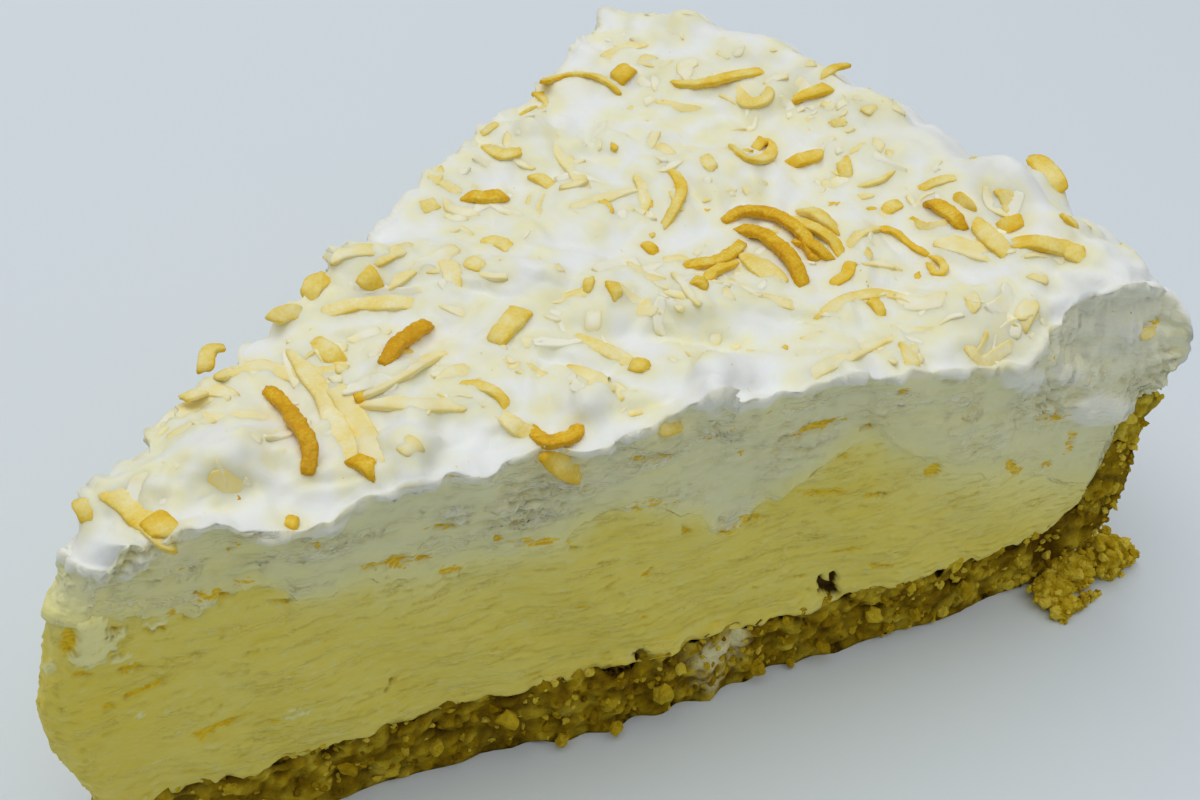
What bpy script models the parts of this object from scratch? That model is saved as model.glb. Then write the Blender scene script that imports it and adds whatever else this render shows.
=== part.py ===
# A slice of cream pie as cut: a crumb crust with a sloping wall, a custard layer
# and a whipped topping with a piped border. The slice runs along X, its tip at -X
# and its crust wall at +X. It lies flat on Z = 0.
import bpy
import math
import random

for ob in list(bpy.data.objects):
    bpy.data.objects.remove(ob, do_unlink=True)

# ---- driving sizes, in millimetres (turned into metres when a mesh is made) ----
MM = 0.001
R_BASE = 108.7          # pie radius at the foot of the crust
R_RIM = 118.2           # pie radius at the outside of the crust rim
R_CREAM = 119.6         # reach of the piped cream over the rim
H_BASE = 9.3            # thickness of the crust base
H_RIM = 28.3            # height of the crust rim
WALL = 4.3              # thickness of the crust wall
H_CUSTARD = 30.5        # mean height of the custard surface
H_CREAM = 41.3          # mean height of the cream surface
H_SEAM_WALL = 15.5      # height where custard, cream and crust wall meet
APEX = -4.0             # where the two cuts would cross, from the pie centre
HALF_ANGLE = 20.33      # half angle between the two cuts, degrees
NOSE_R = 2.6            # rounding of the slice's tip
NOSE_BULGE = 4.0        # how far the soft custard swells out at the tip
NOSE_LEAN = 2.4         # how far the top of the tip leans back
R_BLEND = 16.0          # radius up to which the plan blends from tip to sector
GAP = 0.35              # clearance between neighbouring layers
X_SHIFT = -59.3         # puts the middle of the slice on the origin
COLUMNS = 19            # stations across the slice
CUT_WAVE = 0.45         # waviness of the two cut faces
CRUMB_SWELL = 1.3       # how far the crumbly base swells out of the near cut

# height of the custard surface along the near cut, as (radius, height)
SEAM_NEAR = ((0, 36.4), (4.4, 36.0), (7, 34.4), (10.5, 34.4), (12.3, 35.7), (14.3, 35.1), (16.6, 36.2), (18.9, 33.8), (21, 30.8),
             (24, 31.0), (27, 31.8), (31, 30.6), (35, 29.3), (40, 29.8), (46, 30.1), (49, 31.6), (51.5, 32.9),
             (55, 32.1), (60, 29.8), (63.8, 26.0), (66.2, 25.2), (69, 27.8), (73, 30.2), (77.4, 32.6), (79.7, 33.2),
             (84, 30.2), (88, 27.6), (92.5, 24.5), (98, 22.5), (104, 19.6), (108.5, 16.8))
# the same along the far cut
SEAM_FAR = ((0, 36.4), (5, 35.8), (12, 34.0), (28, 31.0), (45, 30.5), (60, 31.5), (76, 29.5),
            (90, 27.0), (100, 22.5), (108.5, 17.2))
# mean height of the cream surface from tip to border
CREAM_LINE = ((0, 39.6), (4, 41.6), (9, 42.4), (17, 41.4), (26, 40.8), (40, 41.2),
              (60, 41.8), (80, 41.0), (96, 40.4), (104, 41.6), (110, 42.0), (116, 39.6))
# spatula swirls: x, y, long radius, short radius, direction (deg), height
SWIRLS = (
    (19.2, 0.9, 6.4, 4.6, -40, 3.2), (26.0, -8.4, 5.0, 3.0, -38, 1.2), (33.1, -6.6, 3.0, 2.6, 50, 2.0),
    (37.0, 1.5, 6.0, 3.2, 55, 1.2), (45.5, -9.5, 6.0, 2.6, -38, 1.4), (47.8, -14.5, 3.4, 2.0, 64, 1.6),
    (47.5, 15.6, 5.5, 3.4, -36, 1.6), (58.0, 3.0, 6.0, 3.8, -35, 1.3), (61.6, -19.4, 3.0, 2.6, 40, 2.2),
    (65.6, -13.4, 8.0, 2.4, -38, -1.3), (68.5, -8.0, 6.4, 3.4, -38, 1.4), (71.2, 2.2, 4.8, 4.0, -30, -1.4),
    (72.4, -25.6, 5.6, 2.8, -38, 1.2), (76.0, 23.0, 5.0, 4.0, 30, 1.6), (86.5, 8.0, 7.0, 4.6, -38, 1.5),
    (90.2, -27.0, 4.6, 4.2, 40, 2.0), (92.0, -10.0, 6.0, 3.6, 60, 1.2), (93.0, 28.0, 6.0, 4.4, -36, 1.4),
)
# crumb clumps on the outside of the wall: place across, height, reach, half width, half height
CLUMPS = ((-0.95, 7.0, 4.2, 0.13, 7.5), (-0.99, 16.0, 1.8, 0.13, 8.0), (-0.35, 5.0, 1.2, 0.12, 6.0), (0.30, 12.0, 1.0, 0.15, 7.0), (0.80, 6.0, 1.8, 0.14, 6.5))
# piped border: angle (deg), radius, height
BORDER = ((-19.2, 113.2, 1.6), (-14.4, 112.0, 2.4), (-9.3, 111.6, 3.4), (-3.4, 108.6, 1.0), (1.2, 110.4, 2.6),
          (6.0, 110.8, 2.0), (10.8, 111.6, 2.6), (16.0, 111.4, 2.2))

rng = random.Random(7)
WAVES = [(0.75 * (0.72 ** k), 0.11 + 0.06 * k, rng.uniform(0, math.tau), rng.uniform(0, math.tau)) for k in range(7)]


def wave(x, y, seed):
    """Soft unevenness made of a few crossing waves, about -1 to 1."""
    total = 0.0
    for k, (amp, freq, heading, phase) in enumerate(WAVES):
        h = heading + 2.1 * seed + 0.9 * k
        total += amp * math.sin(freq * (x * math.cos(h) + y * math.sin(h)) + phase + 1.7 * seed)
    return total / 1.6


def along(table, r):
    """Smooth interpolation in a (radius, value) table."""
    if r <= table[0][0]:
        return table[0][1]
    for (r0, v0), (r1, v1) in zip(table, table[1:]):
        if r <= r1:
            t = (r - r0) / (r1 - r0)
            t = t * t * (3 - 2 * t)
            return v0 + (v1 - v0) * t
    return table[-1][1]


def edge_angle(r):
    """Half angle of the slice seen from the pie centre at radius r."""
    b = math.radians(HALF_ANGLE)
    return b + math.asin(max(-1.0, min(1.0, -APEX * math.sin(b) / r)))


def plan(r, v):
    """Point of the slice's plan at radius r and -1 <= v <= 1 across it."""
    def polar(rr):
        a = v * edge_angle(rr)
        return rr * math.cos(a), rr * math.sin(a)
    if r >= R_BLEND:
        return polar(r)
    b = math.radians(HALF_ANGLE)
    cx = APEX + NOSE_R / math.sin(b)
    phi = math.pi - v * (math.pi / 2 - b)
    nx, ny = cx + NOSE_R * math.cos(phi), NOSE_R * math.sin(phi)
    px, py = polar(R_BLEND)
    t = r / R_BLEND
    return nx + (px - nx) * t, ny + (py - ny) * t


def swirl(x, y):
    total = 0.0
    for sx, sy, ra, rb, heading, height in SWIRLS:
        c, s = math.cos(math.radians(heading)), math.sin(math.radians(heading))
        a, b = (x - sx) * c + (y - sy) * s, -(x - sx) * s + (y - sy) * c
        total += height * math.exp(-(a / ra) ** 2 - (b / rb) ** 2)
    return total


def border(x, y):
    total = 0.0
    for ang, rad, height in BORDER:
        bx, by = rad * math.cos(math.radians(ang)), rad * math.sin(math.radians(ang))
        total += height * math.exp(-((x - bx) ** 2 + (y - by) ** 2) / 4.6 ** 2)
    return total


def scallop(v):
    """Reach of the piped border beyond its mean radius, by place across the slice."""
    ang = math.degrees(v * edge_angle(R_CREAM))
    best = -1.2
    for bang, rad, height in BORDER:
        best = max(best, -1.2 + (0.7 + 0.35 * height) * math.exp(-((ang - bang) / 2.3) ** 2))
    return best


def crust_top(x, y):
    return H_BASE + 0.35 * wave(x * 1.6, y * 1.6, 1)


def custard_top(r, v, x, y):
    near, far = along(SEAM_NEAR, r), along(SEAM_FAR, r)
    t = min(1.0, max(0.0, (v + 1.0) / 0.9))
    t = t * t * (3 - 2 * t)
    return near + (far - near) * t + 0.5 * wave(x, y, 2) * min(1.0, (110 - r) / 20)


def cream_top(r, x, y):
    return along(CREAM_LINE, r) + 0.45 * wave(x * 1.2, y * 1.2, 3) + swirl(x, y) + border(x, y)


def wall_inner(z, v):
    """Inner radius of the crust wall at height z."""
    t = (z - H_BASE) / (H_RIM - H_BASE)
    return 109.3 + (R_RIM - WALL - 109.3) * min(1.0, max(0.0, t)) ** 0.55 + 0.3 * math.sin(9 * v + 0.35 * z)


def wall_outer(z, v):
    """Outer radius of the crust wall at height z."""
    t = min(1.0, max(0.0, z / H_RIM))
    clump = sum(reach * math.exp(-((v - cv) / hv) ** 2 - ((z - cz) / hz) ** 2) for cv, cz, reach, hv, hz in CLUMPS)
    return R_BASE + 0.3 + (R_RIM - R_BASE - 0.3) * t ** 0.8 + 0.35 * math.sin(13 * v + 0.5 * z) * t + clump * min(1.0, z / 3.0)


def rim_height(v):
    return H_RIM + 0.45 * math.sin(7.3 * v + 0.8) + 0.3 * math.sin(15.1 * v)


def place(r, v, z):
    """Point of the model for radius r, place across v and height z, all in mm."""
    x, y = plan(r, v)
    b = math.radians(HALF_ANGLE)
    w = abs(v) ** 6 * min(1.0, r / 12.0)
    side = 1.0 if v > 0 else -1.0
    off = CUT_WAVE * w * (math.sin(0.17 * r + 1.3 * side) + 0.6 * math.sin(0.41 * r + 0.3 * z))
    if z < H_BASE + 2.0 and r < 106:
        low = min(1.0, (H_BASE + 2.0 - z) / 3.0)
        swell = math.exp(-((r - 60.0) / 20.0) ** 2) if side < 0 else 0.5 * math.exp(-((r - 42.0) / 22.0) ** 2)
        off += CRUMB_SWELL * w * low * swell * (1.0 + 0.35 * math.sin(1.1 * r))
    x += -math.sin(b) * off
    y += side * math.cos(b) * off
    if r < R_BLEND:
        t = (1 - r / R_BLEND) ** 2
        x -= NOSE_BULGE * t * math.exp(-((z - 23.0) / 11.5) ** 2) * (1 - 0.25 * v * v)
        up = min(1.0, max(0.0, (z - 34.0) / 8.0))
        x += NOSE_LEAN * t * up * up * (3 - 2 * up)
    return (x + X_SHIFT) * MM, y * MM, z * MM


# stations from the tip to where custard, cream and wall meet
RADII = [0.0, 2.5, 5.5, 9.0, 12.2, 15.0] + [18.0 + 3.1 * i for i in range(28)] + [104.4]


def floor_chain(v, lift):
    """Crust/custard seam: across the base, then up the foot of the wall."""
    chain = []
    for r in RADII:
        x, y = plan(r, v)
        chain.append((r, crust_top(x, y) + lift))
    for dz in (0.5, 2.3, 4.6):
        z = H_BASE + dz
        chain.append((wall_inner(z, v) - (2.2 if dz < 1 else 0.0) - lift, z + lift * (1 if dz < 1 else 0)))
    return chain


def seam_chain(v, lift):
    """Custard/cream seam: over the custard to the wall."""
    chain = []
    for r in RADII:
        x, y = plan(r, v)
        chain.append((r, custard_top(r, v, x, y) + lift))
    for z, back in ((H_SEAM_WALL + 1.3, 3.1), (H_SEAM_WALL + 0.5, 1.6), (H_SEAM_WALL, 0.0)):
        chain.append((wall_inner(z, v) - back - GAP, z + lift))
    return chain


def wall_chain(v, out):
    """Inner wall from the seam up over the rim, pushed out of the crust by out."""
    top = rim_height(v)
    chain = [(wall_inner(z, v) - out, z) for z in (18.6, 22.0, 25.4)]
    chain.append((wall_inner(top, v) - out, top - 0.4 + out))
    chain.append((R_RIM - 1.9, top + 0.3 + out))
    return chain


def crust_chains(v):
    upper = floor_chain(v, 0.0) + wall_chain(v, 0.0)
    lower = [(r, 0.0) for r in RADII] + [(106.4, 0.0), (R_BASE - 0.5, 0.0), (wall_outer(2.2, v), 2.2)]
    top = rim_height(v)
    lower += [(wall_outer(z, v), z) for z in (7.6, 13.2, 18.6, 23.8, top - 0.9)]
    return lower, upper


def custard_chains(v):
    return floor_chain(v, GAP), seam_chain(v, 0.0)


def cream_chains(v):
    lower = seam_chain(v, GAP) + wall_chain(v, GAP)
    reach = R_CREAM + scallop(v)
    upper = []
    for r in RADII + [107.2, 109.6, 111.8, 113.8]:
        x, y = plan(r, v)
        upper.append((r, cream_top(r, x, y)))
    rim_z = upper[-1][1]
    upper += [(115.6 + 0.4 * scallop(v), rim_z - 0.9), (reach - 1.2, rim_z - 3.0), (reach, rim_z - 6.6), (reach - 1.3, 30.6)]
    return lower, upper


def slab(name, chains, colour):
    """Closed solid between a lower and an upper surface with the same stations."""
    vs = [-1.0 + 2.0 * j / (COLUMNS - 1) for j in range(COLUMNS)]
    verts, low, high = [], [], []
    for v in vs:
        lower, upper = chains(v)
        assert len(lower) == len(upper)
        for store, chain in ((low, lower), (high, upper)):
            store.append(range(len(verts), len(verts) + len(chain)))
            verts.extend(place(r, v, z) for r, z in chain)
    n = len(low[0])
    tris = []

    def quad(a, b, c, d):
        tris.append((a, b, c))
        tris.append((a, c, d))

    for j in range(COLUMNS - 1):
        for i in range(n - 1):
            quad(high[j][i], high[j][i + 1], high[j + 1][i + 1], high[j + 1][i])
            quad(low[j][i], low[j + 1][i], low[j + 1][i + 1], low[j][i + 1])
        quad(low[j][0], high[j][0], high[j + 1][0], low[j + 1][0])
        quad(low[j][-1], low[j + 1][-1], high[j + 1][-1], high[j][-1])
    for i in range(n - 1):
        quad(low[0][i], low[0][i + 1], high[0][i + 1], high[0][i])
        quad(low[-1][i], high[-1][i], high[-1][i + 1], low[-1][i + 1])
    mesh = bpy.data.meshes.new(name)
    mesh.from_pydata(verts, [], tris)
    mesh.validate()
    mesh.update()
    ob = bpy.data.objects.new(name, mesh)
    bpy.context.scene.collection.objects.link(ob)
    for poly in mesh.polygons:
        poly.use_smooth = True
    mat = bpy.data.materials.new(name)
    mat.use_nodes = True
    bsdf = mat.node_tree.nodes.get("Principled BSDF")
    bsdf.inputs["Base Color"].default_value = (*colour, 1.0)
    bsdf.inputs["Roughness"].default_value = 0.7
    mesh.materials.append(mat)
    return ob


slab("crust", crust_chains, (0.42, 0.28, 0.07))
slab("custard", custard_chains, (0.80, 0.68, 0.24))
slab("whipped_cream", cream_chains, (0.90, 0.90, 0.84))
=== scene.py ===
import bpy
import math
import random
import numpy as np
from mathutils import Matrix, Vector
from mathutils.bvhtree import BVHTree
from mathutils.kdtree import KDTree


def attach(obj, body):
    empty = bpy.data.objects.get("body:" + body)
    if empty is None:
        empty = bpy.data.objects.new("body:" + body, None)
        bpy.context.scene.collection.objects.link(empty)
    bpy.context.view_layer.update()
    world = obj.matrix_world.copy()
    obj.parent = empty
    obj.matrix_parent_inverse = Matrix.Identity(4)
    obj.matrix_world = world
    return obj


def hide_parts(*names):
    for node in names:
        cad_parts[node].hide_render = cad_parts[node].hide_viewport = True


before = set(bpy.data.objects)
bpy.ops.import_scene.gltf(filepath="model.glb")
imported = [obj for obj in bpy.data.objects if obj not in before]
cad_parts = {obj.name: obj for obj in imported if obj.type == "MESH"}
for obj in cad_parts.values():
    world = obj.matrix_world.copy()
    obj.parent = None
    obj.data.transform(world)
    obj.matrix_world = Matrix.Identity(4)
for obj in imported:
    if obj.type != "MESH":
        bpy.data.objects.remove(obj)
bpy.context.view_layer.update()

# ------------------------------------------------------------------ sizes (mm), the same as the solids
MM = 0.001
R_BASE, R_RIM, R_CREAM = 108.7, 118.2, 119.6
H_BASE, H_RIM, WALL = 9.3, 28.3, 4.3
H_SEAM_WALL = 15.5
APEX, HALF_ANGLE = -4.0, 20.33
NOSE_R, NOSE_BULGE, NOSE_LEAN, R_BLEND = 2.6, 4.0, 2.4, 16.0
X_SHIFT = -59.3
CUT_WAVE, CRUMB_SWELL = 0.45, 1.3
BETA = math.radians(HALF_ANGLE)

SEAM_NEAR = ((0, 36.4), (4.4, 36.0), (7, 34.4), (10.5, 34.4), (12.3, 35.7), (14.3, 35.1), (16.6, 36.2), (18.9, 33.8), (21, 30.8),
             (24, 31.0), (27, 31.8), (31, 30.6), (35, 29.3), (40, 29.8), (46, 30.1), (49, 31.6), (51.5, 32.9),
             (55, 32.1), (60, 29.8), (63.8, 26.0), (66.2, 25.2), (69, 27.8), (73, 30.2), (77.4, 32.6), (79.7, 33.2),
             (84, 30.2), (88, 27.6), (92.5, 24.5), (98, 22.5), (104, 19.6), (108.5, 16.8))
SEAM_FAR = ((0, 36.4), (5, 35.8), (12, 34.0), (28, 31.0), (45, 30.5), (60, 31.5), (76, 29.5),
            (90, 27.0), (100, 22.5), (108.5, 17.2))
CREAM_LINE = ((0, 39.6), (4, 41.6), (9, 42.4), (17, 41.4), (26, 40.8), (40, 41.2),
              (60, 41.8), (80, 41.0), (96, 40.4), (104, 41.6), (110, 42.0), (116, 39.6))
CREST_NEAR = ((0, 41.0), (3, 42.6), (9, 43.6), (14, 43.2), (19, 42.0), (24, 40.8), (28, 42.2), (34, 41.6), (42, 41.8),
              (49, 41.9), (55, 42.3), (59, 43.4), (61, 44.6), (64, 42.6), (70, 41.7), (75, 42.4), (80, 41.4),
              (88, 39.3), (98, 38.6), (102, 40.0), (106, 41.8), (112, 42.2))
SWIRLS = (
    (19.2, 0.9, 6.4, 4.6, -40, 3.2), (26.0, -8.4, 5.0, 3.0, -38, 1.2), (33.1, -6.6, 3.0, 2.6, 50, 2.0),
    (37.0, 1.5, 6.0, 3.2, 55, 1.2), (45.5, -9.5, 6.0, 2.6, -38, 1.4), (47.8, -14.5, 3.4, 2.0, 64, 1.6),
    (47.5, 15.6, 5.5, 3.4, -36, 1.6), (58.0, 3.0, 6.0, 3.8, -35, 1.3), (61.6, -19.4, 3.0, 2.6, 40, 2.2),
    (65.6, -13.4, 8.0, 2.4, -38, -1.3), (68.5, -8.0, 6.4, 3.4, -38, 1.4), (71.2, 2.2, 4.8, 4.0, -30, -1.4),
    (72.4, -25.6, 5.6, 2.8, -38, 1.2), (76.0, 23.0, 5.0, 4.0, 30, 1.6), (86.5, 8.0, 7.0, 4.6, -38, 1.5),
    (90.2, -27.0, 4.6, 4.2, 40, 2.0), (92.0, -10.0, 6.0, 3.6, 60, 1.2), (93.0, 28.0, 6.0, 4.4, -36, 1.4),
)
CLUMPS = ((-0.95, 7.0, 4.2, 0.13, 7.5), (-0.99, 16.0, 1.8, 0.13, 8.0), (-0.35, 5.0, 1.2, 0.12, 6.0), (0.30, 12.0, 1.0, 0.15, 7.0), (0.80, 6.0, 1.8, 0.14, 6.5))
BORDER = ((-19.2, 113.2, 1.6), (-14.4, 112.0, 2.4), (-9.3, 111.6, 3.4), (-3.4, 108.6, 1.0), (1.2, 110.4, 2.6),
          (6.0, 110.8, 2.0), (10.8, 111.6, 2.6), (16.0, 111.4, 2.2))

_r7 = random.Random(7)
WAVES = [(0.75 * (0.72 ** k), 0.11 + 0.06 * k, _r7.uniform(0, math.tau), _r7.uniform(0, math.tau)) for k in range(7)]


# ------------------------------------------------------------------ noise
_ng = np.random.default_rng(11)
PERM = np.tile(_ng.permutation(256), 3)
GRAD = _ng.normal(size=(256, 3))
GRAD /= np.linalg.norm(GRAD, axis=1)[:, None]
RAND3 = _ng.random((256, 3))


def P3(x, y, z=0.0):
    x, y, z = np.broadcast_arrays(np.asarray(x, float), np.asarray(y, float), np.asarray(z, float))
    return np.stack([x, y, z], -1)


def noise(p, seed=0):
    """Gradient noise, about -1 to 1."""
    p = np.asarray(p, float) + seed * np.array([17.13, 5.71, 9.37]) + 1000.5
    i = np.floor(p).astype(np.int64)
    f = p - i
    u = f * f * f * (f * (f * 6 - 15) + 10)
    i &= 255
    out = np.zeros(p.shape[:-1])
    for dx in (0, 1):
        hx = PERM[i[..., 0] + dx]
        wx = u[..., 0] if dx else 1 - u[..., 0]
        for dy in (0, 1):
            hy = PERM[hx + i[..., 1] + dy]
            wy = wx * (u[..., 1] if dy else 1 - u[..., 1])
            for dz in (0, 1):
                h = PERM[hy + i[..., 2] + dz]
                w = wy * (u[..., 2] if dz else 1 - u[..., 2])
                g = GRAD[h]
                out += w * (g[..., 0] * (f[..., 0] - dx) + g[..., 1] * (f[..., 1] - dy) + g[..., 2] * (f[..., 2] - dz))
    return out * 1.7


def fbm(p, octaves=4, seed=0, gain=0.5):
    p = np.asarray(p, float)
    out, amp = np.zeros(p.shape[:-1]), 1.0
    for k in range(octaves):
        out += amp * noise(p * 2.03 ** k, seed + 3 * k)
        amp *= gain
    return out


def cells(p, seed=0):
    """Cellular noise: distance to the nearest and second nearest seed, and the nearest seed's own number."""
    p = np.asarray(p, float) + seed * np.array([7.13, 15.71, 3.37]) + 1000.0
    i = np.floor(p).astype(np.int64)
    f = p - i
    best = np.full(p.shape[:-1], 9.0)
    second = best.copy()
    own = np.zeros(p.shape[:-1])
    for dx in (-1, 0, 1):
        for dy in (-1, 0, 1):
            for dz in (-1, 0, 1):
                h = PERM[PERM[PERM[(i[..., 0] + dx) & 255] + ((i[..., 1] + dy) & 255)] + ((i[..., 2] + dz) & 255)]
                c = RAND3[h]
                d = np.sqrt((c[..., 0] + dx - f[..., 0]) ** 2 + (c[..., 1] + dy - f[..., 1]) ** 2 + (c[..., 2] + dz - f[..., 2]) ** 2)
                closer = d < best
                second = np.where(closer, best, np.minimum(second, d))
                own = np.where(closer, h / 255.0, own)
                best = np.minimum(best, d)
    return best, second, own


def smooth(a, b, x):
    t = np.clip((x - a) / (b - a), 0, 1)
    return t * t * (3 - 2 * t)


def along(table, r):
    """Smooth interpolation in a (radius, value) table."""
    xs = np.array([q[0] for q in table], float)
    vs = np.array([q[1] for q in table], float)
    r = np.clip(np.asarray(r, float), xs[0], xs[-1])
    k = np.clip(np.searchsorted(xs, r, side="right") - 1, 0, len(xs) - 2)
    t = (r - xs[k]) / (xs[k + 1] - xs[k])
    t = t * t * (3 - 2 * t)
    return vs[k] + (vs[k + 1] - vs[k]) * t


def wave(x, y, seed):
    total = 0.0
    for k, (amp, freq, heading, phase) in enumerate(WAVES):
        h = heading + 2.1 * seed + 0.9 * k
        total = total + amp * np.sin(freq * (x * math.cos(h) + y * math.sin(h)) + phase + 1.7 * seed)
    return total / 1.6


# ------------------------------------------------------------------ the slice's plan and heights
def edge_angle(r):
    return BETA + np.arcsin(np.clip(-APEX * math.sin(BETA) / np.maximum(r, 1e-6), -1, 1))


def plan(r, v):
    r, v = np.broadcast_arrays(np.asarray(r, float), np.asarray(v, float))
    rr = np.maximum(r, R_BLEND)
    a = v * edge_angle(rr)
    px, py = rr * np.cos(a), rr * np.sin(a)
    cx = APEX + NOSE_R / math.sin(BETA)
    phi = math.pi - v * (math.pi / 2 - BETA)
    nx, ny = cx + NOSE_R * np.cos(phi), NOSE_R * np.sin(phi)
    t = np.clip(r / R_BLEND, 0, 1)
    return nx + (px - nx) * t, ny + (py - ny) * t


def near_dist(x, y):
    """Distance in from the near cut."""
    return (x - APEX) * math.sin(BETA) + y * math.cos(BETA)


def far_dist(x, y):
    return (x - APEX) * math.sin(BETA) - y * math.cos(BETA)


def swirl(x, y):
    total = 0.0
    for sx, sy, ra, rb, heading, height in SWIRLS:
        c, s = math.cos(math.radians(heading)), math.sin(math.radians(heading))
        a, b = (x - sx) * c + (y - sy) * s, -(x - sx) * s + (y - sy) * c
        total = total + height * np.exp(-(a / ra) ** 2 - (b / rb) ** 2)
    return total


def border(x, y):
    total = 0.0
    for ang, rad, height in BORDER:
        bx, by = rad * math.cos(math.radians(ang)), rad * math.sin(math.radians(ang))
        total = total + height * np.exp(-((x - bx) ** 2 + (y - by) ** 2) / 4.6 ** 2)
    return total


def scallop(v):
    ang = np.degrees(v * edge_angle(R_CREAM))
    best = np.full(np.shape(ang), -1.2)
    for bang, rad, height in BORDER:
        best = np.maximum(best, -1.2 + (0.7 + 0.35 * height) * np.exp(-((ang - bang) / 2.3) ** 2))
    return best


def crust_top(x, y):
    return H_BASE + 0.35 * wave(x * 1.6, y * 1.6, 1)


def custard_top(r, v, x, y):
    near, far = along(SEAM_NEAR, r), along(SEAM_FAR, r)
    t = smooth(0, 0.9, v + 1.0)
    jag_n = 0.55 * noise(P3(r * 0.55, 3.1), 21) + 0.3 * noise(P3(r * 1.5, 1.2), 22)
    jag_f = 0.55 * noise(P3(r * 0.5, 7.1), 23) + 0.3 * noise(P3(r * 1.4, 5.2), 24)
    fade = smooth(110, 98, r)
    return near + (far - near) * t + 0.5 * wave(x, y, 2) * np.clip((110 - r) / 20, 0, 1) + fade * (jag_n * (1 - t) + jag_f * t)


def folds(x, y):
    """Soft hills with narrower valleys, left by the spatula."""
    q = P3(x, y) * 0.06
    wx = x + 5.0 * noise(q, 31)
    wy = y + 5.0 * noise(q, 32)
    c, s = math.cos(0.7), math.sin(0.7)
    a, b = wx * c + wy * s, -wx * s + wy * c
    n1 = noise(P3(a / 14.0, b / 9.0), 33)
    n2 = noise(P3(a / 7.0, b / 4.6), 34)
    hill1 = np.sqrt(n1 * n1 + 0.012)
    hill2 = np.sqrt(n2 * n2 + 0.012)
    n3 = noise(P3(a / 3.6, b / 2.6), 39)
    return 1.8 * (hill1 - 0.33) + 0.85 * (hill2 - 0.33) + 0.22 * n3 + 0.08 * noise(P3(x / 1.9, y / 1.9), 35)


def ragged(r, v):
    """Uneven crest along a cut, soft lumps of two to six mm."""
    a = noise(P3(r / 5.2, 4.1 + v), 36)
    b = noise(P3(r / 2.3, 1.7 + v), 37)
    return 0.80 * a + 0.42 * b + 0.25 * np.maximum(0, noise(P3(r / 1.5, 9.2 + v), 38)) - 0.1


def cream_top(r, x, y):
    h = along(CREAM_LINE, r) + 0.45 * wave(x * 1.2, y * 1.2, 3) + swirl(x, y) + border(x, y)
    near = np.exp(-(np.maximum(near_dist(x, y), 0) / 2.6) ** 2) * smooth(113, 106, r)
    h = h + (along(CREST_NEAR, r) - h) * near
    rag_n = ragged(r, -1.0) * np.exp(-(np.maximum(near_dist(x, y), 0) / 1.5) ** 2)
    rag_f = ragged(r, 5.0) * np.exp(-(np.maximum(far_dist(x, y), 0) / 1.5) ** 2)
    return h + folds(x, y) * smooth(0, 7, r) * smooth(118, 110, r) * (1 - 0.6 * near) + (rag_n + rag_f) * smooth(117, 112, r)


def wall_inner(z, v):
    t = (z - H_BASE) / (H_RIM - H_BASE)
    return 109.3 + (R_RIM - WALL - 109.3) * np.clip(t, 0, 1) ** 0.55 + 0.3 * np.sin(9 * v + 0.35 * z)


def wall_outer(z, v):
    t = np.clip(z / H_RIM, 0, 1)
    clump = 0.0
    for cv, cz, reach, hv, hz in CLUMPS:
        clump = clump + reach * np.exp(-((v - cv) / hv) ** 2 - ((z - cz) / hz) ** 2)
    return R_BASE + 0.3 + (R_RIM - R_BASE - 0.3) * t ** 0.8 + 0.35 * np.sin(13 * v + 0.5 * z) * t + clump * np.clip(z / 3.0, 0, 1)


def rim_height(v):
    return H_RIM + 0.45 * np.sin(7.3 * v + 0.8) + 0.3 * np.sin(15.1 * v)


def place(r, v, z):
    """Points of the model, in mm from the pie's centre, for radius r, place across v and height z."""
    r, v, z = np.broadcast_arrays(np.asarray(r, float), np.asarray(v, float), np.asarray(z, float))
    x, y = plan(r, v)
    w = np.abs(v) ** 6 * np.clip(r / 12.0, 0, 1)
    side = np.where(v > 0, 1.0, -1.0)
    off = CUT_WAVE * w * (np.sin(0.17 * r + 1.3 * side) + 0.6 * np.sin(0.41 * r + 0.3 * z))
    low = np.clip((H_BASE + 2.0 - z) / 3.0, 0, 1) * (r < 106)
    swell = np.where(side < 0, np.exp(-((r - 60.0) / 20.0) ** 2), 0.5 * np.exp(-((r - 42.0) / 22.0) ** 2))
    off = off + CRUMB_SWELL * w * low * swell * (1.0 + 0.35 * np.sin(1.1 * r))
    x = x - math.sin(BETA) * off
    y = y + side * math.cos(BETA) * off
    t = np.clip(1 - r / R_BLEND, 0, 1) ** 2
    x = x - NOSE_BULGE * t * np.exp(-((z - 23.0) / 11.5) ** 2) * (1 - 0.25 * v * v) + NOSE_LEAN * t * smooth(34.0, 42.0, z)
    return P3(x, y, z)


# ------------------------------------------------------------------ shells from a lower and an upper surface
def resample(ctrl, n):
    """Smooth curve through control points (K, J, 2), at n even stations after the first point."""
    ctrl = np.asarray(ctrl, float)
    seg = np.linalg.norm(np.diff(ctrl, axis=0), axis=-1).mean(1)
    cum = np.concatenate([[0], np.cumsum(seg)])
    want = np.linspace(0, cum[-1], n + 1)[1:]
    k = np.clip(np.searchsorted(cum, want, side="right") - 1, 0, len(seg) - 1)
    t = ((want - cum[k]) / seg[k])[:, None, None]
    pts = np.concatenate([2 * ctrl[:1] - ctrl[1:2], ctrl, 2 * ctrl[-1:] - ctrl[-2:-1]])
    p0, p1, p2, p3 = pts[k], pts[k + 1], pts[k + 2], pts[k + 3]
    return 0.5 * (2 * p1 + (p2 - p0) * t + (2 * p0 - 5 * p1 + 4 * p2 - p3) * t ** 2 + (3 * p1 - p0 - 3 * p2 + p3) * t ** 3)


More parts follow.
